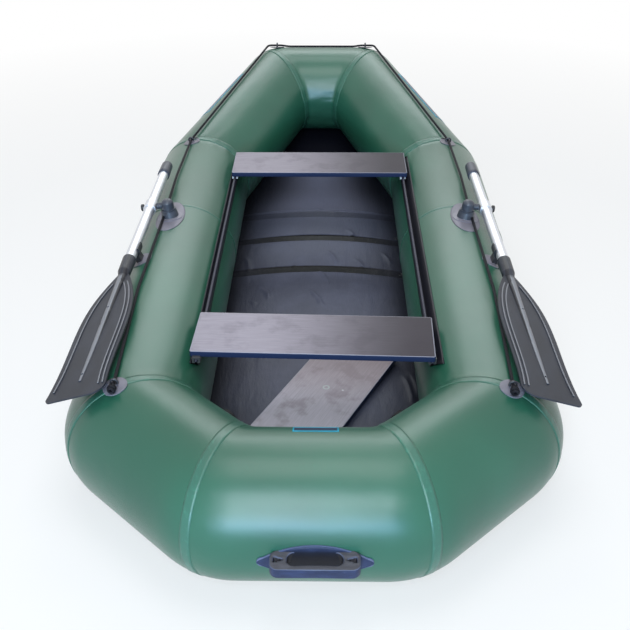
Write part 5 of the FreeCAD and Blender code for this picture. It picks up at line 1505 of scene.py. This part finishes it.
def pale_floor(name, colour):
    """The floor: lit from the lamps near the boat, so that it keeps the shadow, and plain white far away.

    Camera, glossy and transmission rays see white of strength 1 mixed in, a share of it near the boat and
    all of it past the end of its fade.
    """
    f = Finish(name)
    f.set(Base_Color=rgb(colour), Roughness=0.9, Specular_IOR_Level=0.1)
    reach = f.node("ShaderNodeVectorMath", {"operation": "LENGTH"}, {0: f.place()}, out="Value")
    ends = {"From Min": FLOOR_FADE[0], "From Max": FLOOR_FADE[1], "To Min": WHITE_SHARE, "To Max": 1.0}
    share = f.seen_rays() * f.node("ShaderNodeMapRange", inputs={"Value": reach, **ends})
    lit, white = Socket(f, f.surface.outputs[0]), f.node("ShaderNodeEmission")
    mixed = f.node("ShaderNodeMixShader", inputs={0: share, 1: lit, 2: white})
    f.feed(f.tree.nodes["Material Output"].inputs["Surface"], mixed)
    return f.material



def add_lamp(name, place, target, size, radiance, tint):
    """A soft rectangular lamp that points at a target. Its power is radiance times pi times its area."""
    lamp = bpy.data.lights.new(name, "AREA")
    lamp.shape = "RECTANGLE"
    lamp.size, lamp.size_y = size
    lamp.energy = radiance * math.pi * size[0] * size[1]
    lamp.color = tint
    made = bpy.data.objects.new(name, lamp)
    made.location = place
    made.rotation_euler = (Vector(target) - Vector(place)).to_track_quat("-Z", "Y").to_euler()
    bpy.context.scene.collection.objects.link(made)


class BOAT_OT_stage(bpy.types.Operator):
    """Sets the pale floor, the soft lamps, the surround and the camera"""

    bl_idname = "boat.stage"
    bl_label = "Stage"

    def execute(self, context):
        stage = context.scene.boat_stage
        corners = np.array(((-1, -1, 0), (1, -1, 0), (1, 1, 0), (-1, 1, 0))) * FLOOR_REACH
        floor = new_mesh_object("stage_floor", corners, [[0, 1, 2, 3]])
        floor.data.materials.append(pale_floor("stage_floor_pale", stage.floor_colour))

        world = bpy.data.worlds.new("studio_surround")
        world.use_nodes = True
        surround = NodeTree(world.node_tree)
        ground = surround.tree.nodes["Background"]
        ends = {"To Min": stage.sky_strength, "To Max": 1.0}
        strength = surround.node("ShaderNodeMapRange", inputs={"Value": surround.seen_rays(), **ends})
        surround.feed(ground.inputs["Strength"], strength)
        ground.inputs["Color"].default_value = (1.0, 1.0, 1.0, 1.0)
        context.scene.world = world

        for name, place, target, size, setting, tint in LAMPS:
            add_lamp("lamp_" + name, place, target, size, getattr(stage, setting + "_light"), tint)

        camera = bpy.data.cameras.new("camera")
        camera.sensor_width = SENSOR_WIDTH
        camera.lens = FOCAL_PIXELS / IMAGE_PIXELS * SENSOR_WIDTH
        made = bpy.data.objects.new("camera", camera)
        yaw, pitch, roll = (
            Matrix.Rotation(math.radians(angle), 3, axis)
            for angle, axis in ((CAMERA_YAW, "Z"), (CAMERA_PITCH, "X"), (CAMERA_ROLL, "Y")))
        right, ahead, up = (yaw @ pitch @ roll).col
        facing = Matrix((right, up, -ahead)).transposed().to_4x4()
        made.matrix_world = Matrix.Translation(CAMERA_PLACE) @ facing
        context.scene.collection.objects.link(made)
        context.scene.camera = made
        context.scene.view_settings.view_transform = "Standard"
        return {"FINISHED"}


SETTINGS = {
    "boat_hull": HullSettings, "boat_floor": FloorSettings, "boat_seats": SeatSettings,
    "boat_oars": OarSettings, "boat_rigging": RiggingSettings, "boat_stage": StageSettings}
OPERATORS = (
    BOAT_OT_hull, BOAT_OT_tapes, BOAT_OT_floor, BOAT_OT_seats, BOAT_OT_oars, BOAT_OT_rigging,
    BOAT_OT_handles, BOAT_OT_plates, BOAT_OT_stage)


class BOAT_PT_panel(bpy.types.Panel):
    """Lists the boat's steps and settings"""

    bl_label = "Rowing Boat"
    bl_idname = "BOAT_PT_panel"
    bl_space_type = "VIEW_3D"
    bl_region_type = "UI"
    bl_category = "Rowing Boat"

    def draw(self, context):
        for operator in OPERATORS:
            self.layout.operator(operator.bl_idname)
        for name, group in SETTINGS.items():
            box = self.layout.box()
            for field in group.__annotations__:
                box.prop(getattr(context.scene, name), field)


CLASSES = (*SETTINGS.values(), *OPERATORS, BOAT_PT_panel)


def register():
    for item in CLASSES:
        bpy.utils.register_class(item)
    for name, group in SETTINGS.items():
        setattr(bpy.types.Scene, name, PointerProperty(type=group))


def unregister():
    for name in SETTINGS:
        delattr(bpy.types.Scene, name)
    for item in reversed(CLASSES):
        bpy.utils.unregister_class(item)


def main():
    """Runs every step in order."""
    register()
    for operator in OPERATORS:
        group, name = operator.bl_idname.split(".")
        getattr(getattr(bpy.ops, group), name)()


if __name__ == "__main__":
    main()
